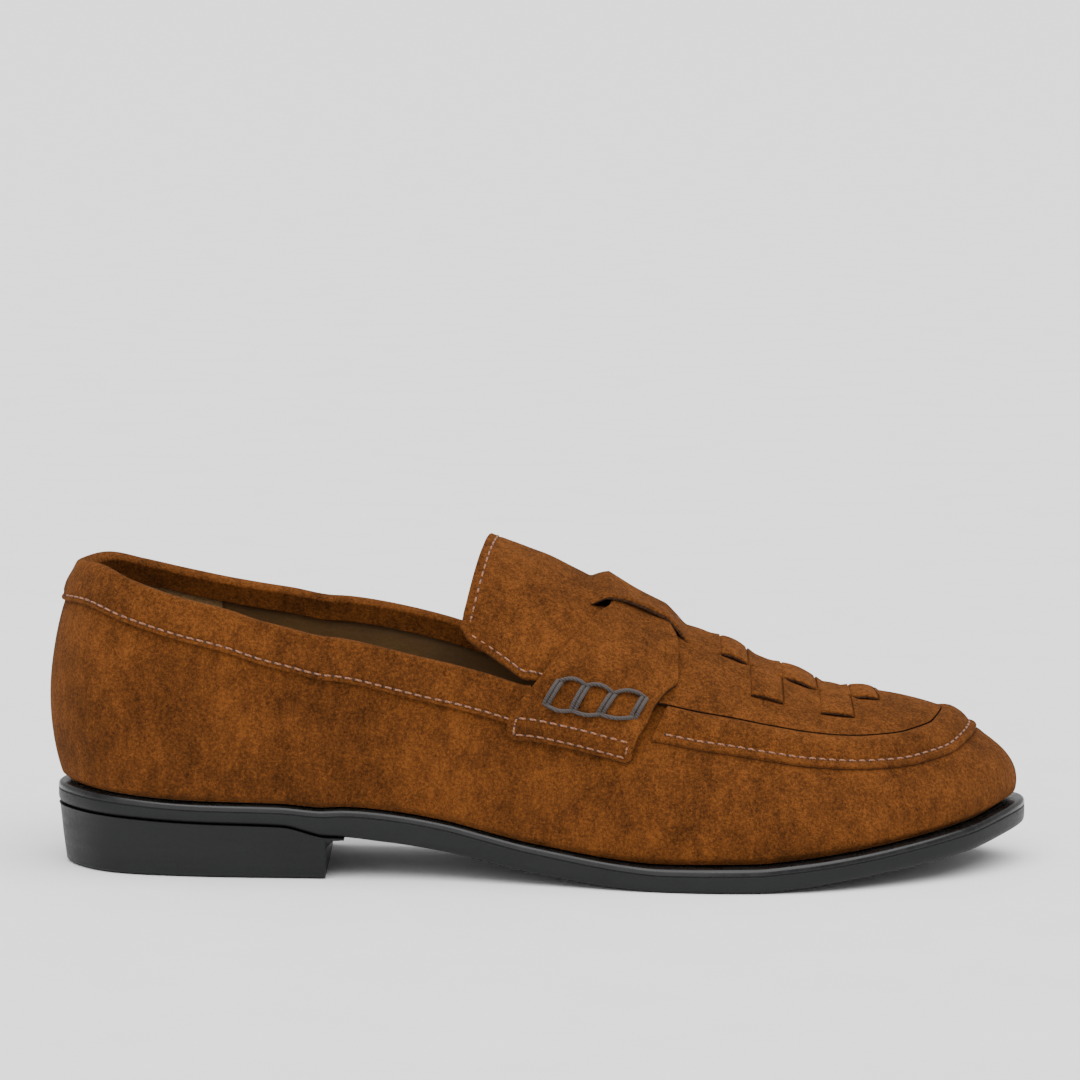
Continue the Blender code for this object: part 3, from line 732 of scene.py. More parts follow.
def stitch_row(threads, hole_shades, side, shares, downs, lift):
    """A row of stitches along a line on the shoe, lift over the last's face, with a dark dot of painted
    shade sunk at each needle hole.
    """
    fine = 400
    steps = np.linspace(0, 1, len(shares))
    share = np.interp(np.linspace(0, 1, fine), steps, shares)
    down = np.interp(np.linspace(0, 1, fine), steps, downs)
    path = on_face(side, share, down, lift)
    table = np.column_stack([path, share, down])
    rows, length = resample(table, fine)
    count = max(int(round(length / STITCH_PITCH)), 1)
    for k in range(count):
        start = (k + 0.5) / count - STITCH_LENGTH / 2 / length
        end = (k + 0.5) / count + STITCH_LENGTH / 2 / length
        where = np.linspace(start, end, 5) * (fine - 1)
        index = np.arange(fine)
        a = np.interp(where, index, rows[:, 3])
        b = np.interp(where, index, rows[:, 4])
        heights = lift + np.array([-0.22, 0.1, 0.2, 0.1, -0.22]) * MM
        threads.tube(on_face(side, a, b, heights), STITCH_RADIUS)
        # painted shade: a short near-black tube sunk into the face at each stitch's needle hole stands in
        # for the hole's shadow
        gap = on_face(side, a[[0, 0]], b[[0, 0]], lift + np.array([-0.3, 0.05]) * MM)
        hole_shades.tube(gap, 0.38 * MM)


class Nodes:
    """A material's node tree, with short calls for what every finish here uses."""

    def __init__(self, name):
        self.material = bpy.data.materials.new(name)
        self.material.use_nodes = True
        self.tree = self.material.node_tree
        self.shader = self.tree.nodes["Principled BSDF"]
        self.object = self.tree.nodes.new("ShaderNodeTexCoord").outputs["Object"]

    def link(self, source, target):
        self.tree.links.new(source, target)

    def set(self, **values):
        for name, value in values.items():
            label = name.replace("_", " ").title().replace("Ior", "IOR")
            self.shader.inputs[label].default_value = value

    def stretched(self, scale):
        node = self.tree.nodes.new("ShaderNodeMapping")
        node.inputs["Scale"].default_value = scale
        self.link(self.object, node.inputs["Vector"])
        return node.outputs["Vector"]

    def noise(self, scale, detail=3, rough=0.55, vector=None):
        node = self.tree.nodes.new("ShaderNodeTexNoise")
        node.inputs["Scale"].default_value = scale
        node.inputs["Detail"].default_value = detail
        node.inputs["Roughness"].default_value = rough
        self.link(vector or self.object, node.inputs["Vector"])
        return node.outputs["Fac"]

    def math(self, operation, a, b):
        node = self.tree.nodes.new("ShaderNodeMath")
        node.operation = operation
        for k, value in enumerate((a, b)):
            if isinstance(value, (int, float)):
                node.inputs[k].default_value = value
            else:
                self.link(value, node.inputs[k])
        return node.outputs[0]

    def blend(self, parts):
        """Sum of factors times their weights."""
        total = None
        for value, weight in parts:
            share = self.math("MULTIPLY", value, weight)
            total = share if total is None else self.math("ADD", total, share)
        return total

    def ramp(self, factor, stops):
        node = self.tree.nodes.new("ShaderNodeValToRGB")
        elements = node.color_ramp.elements
        elements[0].position, elements[0].color = stops[0][0], (*stops[0][1], 1)
        elements[1].position, elements[1].color = stops[-1][0], (*stops[-1][1], 1)
        for place, colour in stops[1:-1]:
            elements.new(place).color = (*colour, 1)
        self.link(factor, node.inputs["Fac"])
        return node.outputs["Color"]

    def mix(self, factor, a, b):
        node = self.tree.nodes.new("ShaderNodeMix")
        node.data_type = "RGBA"
        self.link(factor, node.inputs[0])
        self.link(a, node.inputs[6])
        self.link(b, node.inputs[7])
        return node.outputs[2]

    def levels(self, factor, low, high, start=0.35, end=0.65):
        node = self.tree.nodes.new("ShaderNodeMapRange")
        for key, value in (("From Min", start), ("From Max", end), ("To Min", low), ("To Max", high)):
            node.inputs[key].default_value = value
        self.link(factor, node.inputs["Value"])
        return node.outputs["Result"]

    def bump(self, height, distance, strength=1.0, normal=None):
        node = self.tree.nodes.new("ShaderNodeBump")
        node.inputs["Strength"].default_value = strength
        node.inputs["Distance"].default_value = distance
        self.link(height, node.inputs["Height"])
        if normal is not None:
            self.link(normal, node.inputs["Normal"])
        return node.outputs["Normal"]


def shade(colour, factor):
    return tuple(c * factor for c in colour)


HEEL_PATCH_COLOURS = ((0.36, (0.15, 0.085, 0.034)), (0.64, (0.30, 0.185, 0.085)))
SEAM_COLOURS = ((0.3, (0.04, 0.018, 0.006)), (0.7, (0.07, 0.03, 0.01)))
HEEL_PATCH_END = -84 * MM
SUEDE_MID = (0.088, 0.0285, 0.0062)


def suede(name, tone=1.0):
    """Brushed suede: short nap in light and dark specks over soft brushed patches."""
    n = Nodes(name)
    patches = n.levels(n.noise(55, 3, 0.5), 0, 1)
    nap = n.levels(n.noise(330, 3, 0.6, n.stretched((1.0, 1.0, 0.5))), 0, 1)
    grain = n.levels(n.noise(1250, 4, 0.75), 0, 1)
    fibre = n.levels(n.noise(3000, 2, 0.7), 0, 1)
    factor = n.blend([(patches, 0.20), (nap, 0.18), (grain, 0.40), (fibre, 0.22)])
    colour = n.ramp(
        factor,
        (
            (0.18, shade(SUEDE_MID, 0.34 * tone)),
            (0.50, shade(SUEDE_MID, tone)),
            (0.84, shade(SUEDE_MID, 1.95 * tone)),
        ),
    )
    n.link(colour, n.shader.inputs["Base Color"])
    n.set(roughness=0.95, sheen_weight=0.07, sheen_roughness=0.5)
    n.set(sheen_tint=(0.95, 0.42, 0.16, 1.0), specular_ior_level=0.06)
    height = n.blend([(grain, 0.6), (fibre, 0.4)])
    soft = n.bump(nap, 0.30 * MM, 0.5)
    n.link(n.bump(height, 0.26 * MM, 0.9, soft), n.shader.inputs["Normal"])
    return n.material


def raw_edge():
    """Cut edge of the suede, greyer and rougher than its face."""
    n = Nodes("suede_cut_edge")
    factor = n.noise(1200, 3, 0.6)
    colour = n.ramp(factor, ((0.35, (0.020, 0.009, 0.005)), (0.65, (0.062, 0.028, 0.014))))
    n.link(colour, n.shader.inputs["Base Color"])
    n.set(roughness=0.95, specular_ior_level=0.1)
    n.link(n.bump(factor, 0.2 * MM, 0.8), n.shader.inputs["Normal"])
    return n.material


def rubber():
    """Near-black sole with faint nicks and a semi-matt face."""
    n = Nodes("sole_rubber")
    cloud = n.noise(45, 4, 0.6)
    speck = n.noise(900, 2, 0.7)
    streak = n.noise(160, 3, 0.6, n.stretched((0.25, 0.25, 2.2)))
    factor = n.blend([(cloud, 0.4), (speck, 0.3), (streak, 0.3)])
    colour = n.ramp(factor, ((0.36, (0.0035, 0.004, 0.004)), (0.64, (0.009, 0.0095, 0.0095))))
    n.link(colour, n.shader.inputs["Base Color"])
    n.link(n.levels(factor, 0.36, 0.62), n.shader.inputs["Roughness"])
    n.set(specular_ior_level=0.22)
    soft = n.bump(streak, 0.25 * MM, 0.35)
    n.link(n.bump(speck, 0.08 * MM, 0.5, soft), n.shader.inputs["Normal"])
    return n.material


def glossy_edge():
    n = Nodes("sole_edge_dressing")
    factor = n.noise(220, 3, 0.6)
    colour = n.ramp(factor, ((0.35, (0.003, 0.003, 0.003)), (0.65, (0.007, 0.007, 0.007))))
    n.link(colour, n.shader.inputs["Base Color"])
    n.link(n.levels(factor, 0.2, 0.34), n.shader.inputs["Roughness"])
    n.set(specular_ior_level=0.35)
    n.link(n.bump(factor, 0.12 * MM, 0.4), n.shader.inputs["Normal"])
    return n.material


def lining(name, dark, light, roughness, heel_patch=None):
    """Lining leather with fine pores; a paler suede patch behind a seam at heel_patch."""
    n = Nodes(name)
    cloud = n.noise(50, 3, 0.5)
    pore = n.noise(1400, 2, 0.6)
    fold = n.noise(120, 2, 0.5, n.stretched((0.5, 1.0, 1.6)))
    factor = n.blend([(cloud, 0.5), (pore, 0.3), (fold, 0.2)])
    colour = n.ramp(factor, ((0.36, dark), (0.64, light)))
    if heel_patch is not None:
        split = n.tree.nodes.new("ShaderNodeSeparateXYZ")
        n.link(n.object, split.inputs["Vector"])
        place = n.math("ADD", split.outputs["X"], n.math("MULTIPLY", split.outputs["Z"], 0.05))
        patch = n.math("LESS_THAN", place, heel_patch)
        seam = n.math("LESS_THAN", n.math("ABSOLUTE", n.math("SUBTRACT", place, heel_patch), 0.0), 0.5 * MM)
        pale = n.ramp(n.blend([(pore, 0.7), (cloud, 0.3)]), HEEL_PATCH_COLOURS)
        colour = n.mix(patch, colour, pale)
        colour = n.mix(seam, colour, n.ramp(cloud, SEAM_COLOURS))
    n.link(colour, n.shader.inputs["Base Color"])
    n.link(n.levels(pore, roughness - 0.08, roughness + 0.1), n.shader.inputs["Roughness"])
    soft = n.bump(fold, 0.6 * MM, 0.3)
    n.link(n.bump(pore, 0.1 * MM, 0.6, soft), n.shader.inputs["Normal"])
    return n.material


def thread(name, dark, light):
    """Spun thread with its twist."""
    n = Nodes(name)
    wave = n.tree.nodes.new("ShaderNodeTexWave")
    wave.inputs["Scale"].default_value = 700
    wave.inputs["Distortion"].default_value = 1.5
    wave.bands_direction = "DIAGONAL"
    n.link(n.object, wave.inputs["Vector"])
    fuzz = n.noise(2500, 2, 0.6)
    factor = n.blend([(wave.outputs["Fac"], 0.5), (fuzz, 0.5)])
    n.link(n.ramp(factor, ((0.25, dark), (0.75, light))), n.shader.inputs["Base Color"])
    n.set(roughness=0.75, sheen_weight=0.1)
    n.link(n.bump(factor, 0.12 * MM, 0.8), n.shader.inputs["Normal"])
    return n.material


def creases(side, share, down, girth):
    """Soft unevenness of the stretched suede, in metres over the last."""
    up = (girth - down) / girth
    wave = np.sin(share * 41 + side * 0.7 + up * 5.0) * np.sin(up * 9 + share * 17)
    soft = 0.16 * MM * wave * smooth(up, 0.05, 0.3)
    flex = bump(share - 0.585 - 0.05 * up, 0.012) - 0.8 * bump(share - 0.607 - 0.06 * up, 0.010)
    flex += 0.5 * bump(share - 0.635 - 0.06 * up, 0.014)
    flexing = 0.30 * MM * flex * smooth(up, 0.05, 0.25)
    quarter = 0.22 * MM * np.sin((share + 0.25 * up) * 95) * bump(share - 0.40, 0.07)
    counter = -0.35 * MM * bump(share - 0.225 - 0.05 * up, 0.012) * smooth(up, 0.1, 0.4)
    return soft + flexing + quarter * smooth(up, 0.2, 0.6) + counter


def upper_stations(count):
    xs = np.array(FEATHER.stations(count))
    for fixed in (x_at(TOPLINE_END), x_at(THROAT)):
        xs[np.abs(xs - fixed).argmin()] = fixed
    return xs


def upper(finishes):
    """Vamp and quarters: one wall whose inside is the lining."""
    shell = Shell()
    xs = upper_stations(260)[:, None]
    steps = np.concatenate([np.linspace(0, 0.93, 56), np.linspace(0.945, 1.0, 8)])[None, :]
    for side in SIDES:
        top = top_down(side, xs)
        girth = LAST.read(LAST.girth, side, xs)
        down = top + (girth - top) * steps
        share = share_at(xs) + 0 * down
        lift = creases(side, share, down, girth)
        band = seam_down(side, xs)
        over = (share > SEAM[0][0] - 0.02) & (down < band)
        lift = np.where(over, np.minimum(lift, 0), lift)
        lift += 0.25 * MM * bump(down - band - 1.2 * MM, 1.3 * MM) * smooth(share, 0.58, 0.62)
        lift -= 1.1 * MM * smooth(down, girth - 2.2 * MM, girth)
        lift *= smooth(down - top, 9 * MM, 13 * MM) * (share < THROAT) + (share >= THROAT)
        outer = LAST.at(side, xs, down, lift)
        inner = LAST.at(side, xs, down, -UPPER_WALL + 0 * lift)
        shell.add(outer, inner, flip=side < 0)
    piece = shell.make("upper_skin", finishes)
    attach(piece, "root")
    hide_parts("upper")
    return piece


COLLAR_STITCH = 1.4 * MM
COLLAR_STEPS = 26


def loft_faces(count, size):
    """Faces of a closed body from rings of one size, with a face over each end."""
    faces = []
    for k in range(count - 1):
        for i in range(size):
            j = (i + 1) % size
            a, b = k * size, (k + 1) * size
            faces.append([a + i, a + j, b + j, b + i])
    faces.append(list(range(size)))
    faces.append([(count - 1) * size + i for i in range(size)])
    return faces


def collar_ring():
    """Closed profile of the collar: (depth under the wall's top, height over the last)."""
    high, low = GAP + COLLAR_THICKNESS, GAP
    inside = -UPPER_WALL - GAP
    depths = edge_steps(COLLAR_DEPTH, 0.45 * MM, COLLAR_STEPS)[::-1]
    outer = []
    for depth in depths:
        up = COLLAR_DEPTH - depth
        groove = 0.34 * MM * bump(up - COLLAR_STITCH, 0.55 * MM)
        puff = 0.28 * MM * bump(up - 4.6 * MM, 2.6 * MM)
        round_off = rounding(up, 0.4 * MM)
        outer.append((depth, high - groove + puff - round_off))
    middle, radius = (high + inside - COLLAR_THICKNESS) / 2, (high - inside + COLLAR_THICKNESS) / 2
    crown = []
    for k in range(1, 12):
        turn = math.pi * k / 12
        crown.append((-0.62 * radius * math.sin(turn), middle + radius * math.cos(turn)))
    inner = [(d, inside - COLLAR_THICKNESS + 0.1 * MM) for d in np.linspace(0, COLLAR_LINING, 8)]
    back = [(COLLAR_LINING, inside), (0.0, inside), (-0.6 * GAP, inside + 0.4 * GAP)]
    return outer + crown + inner + back + [(-0.6 * GAP, low - 0.4 * GAP), (0.0, low), (COLLAR_DEPTH, low)]


def collar(finish):
    """Suede folded over the top edge and stitched down along its lower one."""
    ring = np.array(collar_ring())
    xs = [x for x in upper_stations(300) if x <= x_at(TOPLINE_END)]
    loops = []
    for side, order in ((OUTER, xs[::-1]), (INNER, xs[1:])):
        for x in order:
            start = float(top_down(side, x))
            depth, height = ring[:, 0], ring[:, 1].copy()
            wobble = 0.12 * MM * math.sin(share_at(x) * 120 + side)
            height[:COLLAR_STEPS] += wobble * np.sin(np.linspace(0, math.pi, COLLAR_STEPS))
            placed = LAST.at(side, x, start + np.maximum(depth, 0), height)
            crest = LAST.at(side, x, start - 1.0 * MM, height) - LAST.at(side, x, start, height)
            crest /= np.linalg.norm(crest, axis=1)[:, None]
            loops.append(placed + crest * np.maximum(-depth, 0)[:, None])
    places = np.concatenate(loops)
    faces = loft_faces(len(loops), len(ring))
    piece = mesh_object("collar_binding", places, faces, [finish])
    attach(piece, "root")
    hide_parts("collar")
    return piece


TONGUE_STITCH = 2.2 * MM
SUEDE_ROUND = 0.5 * MM

# Slit of the bridge over the strap. Columns: along, distance from the ridge (share of
# the plug's half width), lift (share of the full lift).
BRIDGE_SLIT = (
    (0.546, 0.385, 0.00),
    (0.553, 0.370, 0.55),
    (0.560, 0.345, 1.00),
    (0.582, 0.285, 1.00),
    (0.618, 0.255, 1.00),
    (0.634, 0.295, 0.58),
    (0.650, 0.370, 0.00),
)
FULL_LIFT = STRAP_THICKNESS + SUEDE + GAP + STRAP_GAP


def slit_line(share):
    inside = (share > BRIDGE_SLIT[0][0]) & (share < BRIDGE_SLIT[-1][0])
    return np.where(inside, columns(BRIDGE_SLIT, 1, share), WEAVE_CENTRE + 0 * share)


def over_cells():
    """Raised cells of the weave: (start, end, inner line, outer line)."""
    cells = []
    for k in range(len(WEAVE_EDGES) - 1):
        lines = (0.0, WEAVE_CENTRE) if k % 2 == 0 else (WEAVE_CENTRE, WEAVE_SIDE)
        cells.append((WEAVE_EDGES[k], WEAVE_EDGES[k + 1], *lines))
    return cells


def plug_relief(share, line):
    """Lips and hollows of the plug at the slits, and its bulges where a strip is under."""
    relief = np.zeros(np.broadcast(share, line).shape)
    for start, end, near, far in over_cells():
        window = smooth(line, near - 0.03, near) if near > 0 else 1.0
        window = window * (1 - smooth(line, far, far + 0.03))
        before, after = (start - share) * LENGTH, (share - end) * LENGTH
        inside = np.minimum(-before, -after)
        lip = 0.55 * MM * (before >= 0) * bump(before, 1.6 * MM)
        lip = lip + 0.55 * MM * (after >= 0) * bump(after, 1.6 * MM)
        pit = -0.7 * MM * (inside > 0) * smooth(inside, 0.0, 0.2 * MM)
        relief = relief + (lip + pit) * window
    return relief


def plug_shares():
    shares = [share_at(x) for x in FEATHER.stations(420)]
    extra = [TONGUE_BACK + d for d in (0.0, 0.0004, 0.0012, 0.0022)]
    for edge in WEAVE_EDGES:
        extra += [edge - 0.0006, edge + 0.0002, edge - 0.0002, edge + 0.0006]
    extra += [row[0] for row in BRIDGE_SLIT]
    shares = [s for s in shares if s > TONGUE_BACK + 0.003]
    shares = [s for s in shares if min(abs(s - e) for e in extra) > 0.0007]
    return np.array(sorted(shares + extra))


def plug(finishes):
    """Plug and tongue in one wall, slit for the woven strips and the strap's bridge."""
    shell = Shell()
    share = plug_shares()[:, None]
    tongue = (share - TONGUE_BACK) / (THROAT - TONGUE_BACK)
    lean = TONGUE_LEAN * np.clip(1 - tongue, 0, 1)
    slit = slit_line(share)
    lift = np.clip(columns(BRIDGE_SLIT, 2, share), 0, 1) * (share < BRIDGE_SLIT[-1][0])
    centre_steps = np.linspace(0, 1, 26)[None, :]
    side_steps = np.concatenate([np.linspace(0, 0.94, 40), [0.965, 0.985, 1.0]])[None, :]
    for side in SIDES:
        whole = plug_down(side, x_at(share - lean))
        blocks = (
            (slit * centre_steps, True),
            (slit + (1 - slit) * side_steps, False),
        )
        for line, centre in blocks:
            x = x_at(share - lean * line)
            edge = plug_down(side, x_at(share - lean)) * line
            height = GAP + (lift * FULL_LIFT if centre else 0.0) + 0 * line
            face = SUEDE + plug_relief(share, line)
            from_back = (share - TONGUE_BACK) * LENGTH
            from_side = whole * (1 - line)
            free = share < SEAM[0][0]
            face -= rounding(from_back, SUEDE_ROUND)
            face -= np.where(free, rounding(from_side, SUEDE_ROUND), 0)
            if centre:
                slit_gap = whole * (slit - line)
                open_slit = (lift > 0) & (slit_gap < SUEDE_ROUND)
                face -= np.where(open_slit, rounding(slit_gap, SUEDE_ROUND), 0)
                height += 0.5 * MM * (lift > 0) * bump(slit_gap, 3 * MM)
            groove = bump(from_back - TONGUE_STITCH, 0.5 * MM)
            groove = groove + bump(from_side - TONGUE_STITCH, 0.5 * MM)
            face -= 0.22 * MM * groove * (share < 0.56)
            height += 0.5 * MM * bump(from_back, 9 * MM) + 0.6 * MM * tongue_wave(share, line)
            shell.add(
                LAST.at(side, x, edge, height + face),
                LAST.at(side, x, edge, height + 0 * face),
                flip=side < 0,
            )
    piece = shell.make("plug_and_tongue_skin", finishes)
    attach(piece, "root")
    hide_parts("plug_and_tongue")
    return piece


def tongue_wave(share, line):
    """Slow unevenness of the tongue and the plug behind the weave."""
    fade = smooth(share, 0.47, 0.50) * (1 - smooth(share, 0.66, 0.68)) * smooth(1 - line, 0.0, 0.25)
    return 0.35 * fade * np.sin(share * 88 + line * 3.0) * np.sin(line * 4 + share * 30)


STRIP_THICKNESS = 1.1 * MM
STRIP_ARCH = 0.75 * MM
STRIP_TUCK = 1.3 * MM
STRIP_DIP = 1.6 * MM
STRIP_STEPS = 22


def weave_strips(finishes):
    """Each strip's visible run over the plug, dipping under the slits' lips."""
    for number, (start, end, near, far) in enumerate(over_cells()):
        reach = STRIP_TUCK / LENGTH
        shares = np.linspace(start - reach, end + reach, 40)[:, None]
        inside = np.minimum(shares - start, end - shares) * LENGTH
        along = np.clip((shares - start) / (end - start), 0, 1)
        height = GAP + SUEDE + 0.35 * MM + STRIP_ARCH * np.sin(math.pi * along) ** 0.7
        height -= STRIP_DIP * (1 - smooth(inside, -STRIP_TUCK, 0.9 * MM))
        if near == 0.0:
            spans = ((OUTER, 0.0, far - 0.008, False), (INNER, 0.0, far - 0.008, True))
            groups = [spans]
        else:
            groups = [((side, near + 0.012, far - 0.008, side > 0),) for side in SIDES]
        for group in groups:
            shell = Shell()
            for side, low, high, flip in group:
                whole = plug_down(side, x_at(shares))
                width = whole * (high - low)
                if near == 0.0:
                    steps = edge_steps(1.0, 0.06, STRIP_STEPS)[4:]
                    steps = (steps - steps[0]) / (steps[-1] - steps[0])
                    to_edge = width * (1 - steps[None, :])
                else:
                    steps = edge_steps(1.0, 0.06, STRIP_STEPS)
                    to_edge = width * np.minimum(steps, 1 - steps)[None, :]
                line = low + (high - low) * steps[None, :]
                face = height - rounding(to_edge, 0.45 * MM)
                face = face - 0.25 * MM * smooth(2.5 * MM - to_edge, 0, 2.5 * MM) * 0.5
                base = np.minimum(height - STRIP_THICKNESS, face - 0.15 * MM) + 0 * face
                outer = LAST.at(side, x_at(shares) + 0 * line, whole * line, face)
                inner = LAST.at(side, x_at(shares) + 0 * line, whole * line, base)
                shell.add(outer, inner, flip=not flip)
            where = "centre" if near == 0.0 else ("outer" if group[0][0] < 0 else "inner")
            piece = shell.make(f"weave_strip_{where}_{number + 1}", finishes)
            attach(piece, "root")
            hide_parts("plug_and_tongue")


# Section of the apron band from its seam to its inner edge. Columns: distance in from
# the seam (mm), height over the last (mm).
BAND_SECTION = (
    (0.0, 0.45),
    (0.15, 1.00),
    (0.5, 1.22),
    (1.2, 1.28),
    (1.9, 1.05),
    (2.4, 0.92),
    (2.9, 1.10),
    (3.8, 1.65),
    (5.2, 2.15),
    (6.8, 2.50),
    (8.2, 2.58),
    (9.3, 2.35),
    (10.1, 1.95),
    (10.5, 1.60),
    (10.7, 1.00),
)


def apron_band(finishes):
    """Raised band around the plug: cut edge, stitch groove, then a soft roll."""
    table = np.array(BAND_SECTION) * MM
    start = SEAM[0][0] + BAND_START
    shares = np.array([share_at(x) for x in FEATHER.stations(420) if share_at(x) > start])
    shares = np.concatenate([[start, start + 0.0012], shares[shares > start + 0.003]])[:, None]
    steps = (shares - start) * LENGTH
    lean = BAND_LEAN * np.clip(1 - steps / (30 * MM), 0, 1)
    shell = Shell()
    place = np.interp(np.linspace(0, 1, 40), np.linspace(0, 1, len(table)), table[:, 0])[None, :]
    rise = np.interp(place, table[:, 0], table[:, 1])
    for side in SIDES:
        part = place / (BAND_WIDTH - GAP)
        x = x_at(shares + lean * part)
        low = seam_down(side, x)
        ripple = 0.10 * MM * np.sin(shares * 300) * bump(place - 4 * MM, 2 * MM)
        outer = LAST.at(side, x, low - place, rise + ripple)
        inner = LAST.at(side, x, low - place, GAP * 0.6 + 0 * ripple)
        shell.add(outer, inner, flip=side < 0)
    piece = shell.make("apron_band_skin", finishes)
    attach(piece, "root")
    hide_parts("apron_band")
    return piece


# The saddle strap, finer than the solid's table. Columns: down (share of STRAP_REACH),
# rear edge and front edge (along).
STRAP_EDGES = (
    (0.000, 0.570, 0.622),
    (0.150, 0.567, 0.626),
    (0.240, 0.564, 0.634),
    (0.300, 0.556, 0.6355),
    (0.490, 0.5305, 0.6355),
    (0.562, 0.520, 0.624),
    (0.683, 0.503, 0.610),
    (0.775, 0.489, 0.604),
    (0.876, 0.473, 0.595),
    (0.940, 0.4665, 0.591),
    (0.980, 0.4655, 0.589),
    (1.000, 0.4700, 0.584),
)


TAB_STITCHES = (1.3 * MM, 5.6 * MM)
TAB_ENDS = (0.06, 0.95)


def strap_height(down):
    """Height of the strap's inside over the last at a place down the strap."""
    return (SUEDE + GAP + STRAP_GAP) * columns(STRAP, 3, down)


def strap_tilt(down, across):
    """The tab's foot rises towards the front, so its corners aren't level."""
    return -4.0 * MM * across * smooth(down, 0.5, 1.0)


def saddle_strap(finishes):
    """The strap on both sides, with its stitched tab and soft edges."""
    shell = Shell()
    down = np.concatenate([np.linspace(0, 0.975, 70), [0.982, 0.989, 0.994, 0.998, 1.0]])[:, None]
    across = edge_steps(1.0, 0.03, 34)[None, :]
    rear, front = columns(STRAP_EDGES, 1, down), columns(STRAP_EDGES, 2, down)
    width = (front - rear) * LENGTH
    for side in SIDES:
        x = x_at(rear + (front - rear) * across)
        reach = LAST.wrap(side, x)
        away = (STRAP_REACH * down + strap_tilt(down, across)) * reach
        inside = strap_height(down) + 0 * across
        to_edge = np.minimum(across, 1 - across) * width
        to_foot = (1 - down) * STRAP_REACH
        face = STRAP_THICKNESS - rounding(to_edge, SUEDE_ROUND) - rounding(to_foot, SUEDE_ROUND)
        for line in TAB_STITCHES:
            face -= 0.25 * MM * bump(to_foot - line, 0.5 * MM)
        face -= 0.22 * MM * bump(to_edge - 1.8 * MM, 0.5 * MM) * smooth(down, 0.90, 0.93)
        face += 0.3 * MM * bump(to_foot - 3.4 * MM, 1.4 * MM)
        wave = 0.18 * MM * np.sin(across * 7 + down * 9) * smooth(1 - down, 0, 0.2)
        inside = inside + 0.25 * MM * smooth(1 - down, 0, 0.1) * bump(to_edge, 2 * MM) + wave
        shell.add(
            LAST.at(side, x, away, inside + face),
            LAST.at(side, x, away, inside),
            flip=side > 0,
        )
    piece = shell.make("saddle_strap_skin", finishes)
    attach(piece, "root")
    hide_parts("saddle_strap")
    return piece


def strap_top(down):
    return strap_height(down) + STRAP_THICKNESS


def lacing(name, side, finish):
    """Doubled cord on a tab: bars, and the runs that join their ends."""
    cords = Threads(10)
    base = float(strap_top(np.array([0.7]))[0])
    tops = [(s, LACING_REACH + d) for s, d in zip(LACING_TOP, (2.0, 0.8, 0.0, -2.5) * np.array(MM))]
    lows = [(s, LACING_REACH + d) for s, d in zip(LACING_LOW, (9.5, 8.6, 6.9, 4.3) * np.array(MM))]

    def run(a, b, heights, spread=0.0, bow=0.0):
        steps = np.linspace(0, 1, 13)
        share = a[0] + (b[0] - a[0]) * steps
        down = a[1] + (b[1] - a[1]) * steps - bow * np.sin(math.pi * steps)
        height = base + np.interp(steps, np.linspace(0, 1, len(heights)), heights) * MM
        share = share + spread / LENGTH
        x = x_at(share)
        cords.tube(LAST.at(side, x, down * LAST.wrap(side, x), height), 0.55 * MM)

    for top, low in zip(tops, lows):
        for spread in (-0.55 * MM, 0.55 * MM):
            run(top, low, (-0.2, 0.9, 1.15, 0.9, -0.2), spread)
    for points, bow in ((tops, 0.9 * MM), (lows, -0.9 * MM)):
        for a, b in zip(points, points[1:]):
            run(a, b, (0.0, 0.75, 0.9, 0.75, 0.0), 0.0, bow)
    piece = cords.make(name, finish)
    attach(piece, "root")
    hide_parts(name)
    return piece


def ring_body(name, rings, finishes, slots):
    """A closed body from rings that follow the outline, bottom ring first."""
    places, faces, kinds = [], [], []
    count = len(rings[0][OUTER])
    size = 2 * count - 2
    for ring in rings:
        places += list(ring[OUTER]) + list(ring[INNER][-2:0:-1])
    for k in range(len(rings) - 1):
        for i in range(size):
            j = (i + 1) % size
            faces.append([k * size + i, k * size + j, (k + 1) * size + j, (k + 1) * size + i])
            kinds.append(slots[k])

    def cap(start, kind):
        for i in range(count - 1):
            left = [start + i, start + i + 1]
            right = [start + (size - i - 1) % size, start + (size - i) % size]
            ring = left + right
            ring = [v for n, v in enumerate(ring) if v != ring[n - 1]]
            if len(set(ring)) >= 3 and len(set(ring)) == len(ring):
                faces.append(ring)
                kinds.append(kind)

    cap(0, slots[0])
    cap((len(rings) - 1) * size, slots[-1])
    return mesh_object(name, np.array(places), faces, finishes, kinds, 35)


RIM_STATIONS = 260


def rim_ring(inset, level, lift):
    """Both sides of a ring that follows the outline at an inset and a height."""
    rim = Rim(lambda share: inset(share) if callable(inset) else inset)
    xs = rim.stations(RIM_STATIONS)
    return {s: [(x, rim.y(s, x), level(x) + lift) for x in xs] for s in SIDES}


def outsole(finishes):
    """Sole unit with a soft lower corner, a fine line in its wall and a glossy ledge."""
    rows = (
        (1.6 * MM, sole_under, 0.0, 0),
        (0.8 * MM, sole_under, 0.18 * MM, 0),
        (0.35 * MM, sole_under, 0.55 * MM, 0),
        (0.08 * MM, sole_under, 1.2 * MM, 0),
        (0.0, sole_under, 2.0 * MM, 0),
        (0.0, sole_top, -2.3 * MM, 0),
        (0.22 * MM, sole_top, -2.1 * MM, 0),
        (0.22 * MM, sole_top, -1.95 * MM, 0),
        (0.0, sole_top, -1.75 * MM, 1),
        (0.05 * MM, sole_top, -1.0 * MM, 1),
        (0.25 * MM, sole_top, -0.5 * MM, 1),
        (0.7 * MM, sole_top, -0.12 * MM, 1),
        (1.2 * MM, sole_top, 0.0, 1),
    )
    rings = [rim_ring(inset, level, lift) for inset, level, lift, _ in rows]
    piece = ring_body("outsole_skin", rings, finishes, [row[3] for row in rows])
    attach(piece, "root")
    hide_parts("outsole")
    return piece


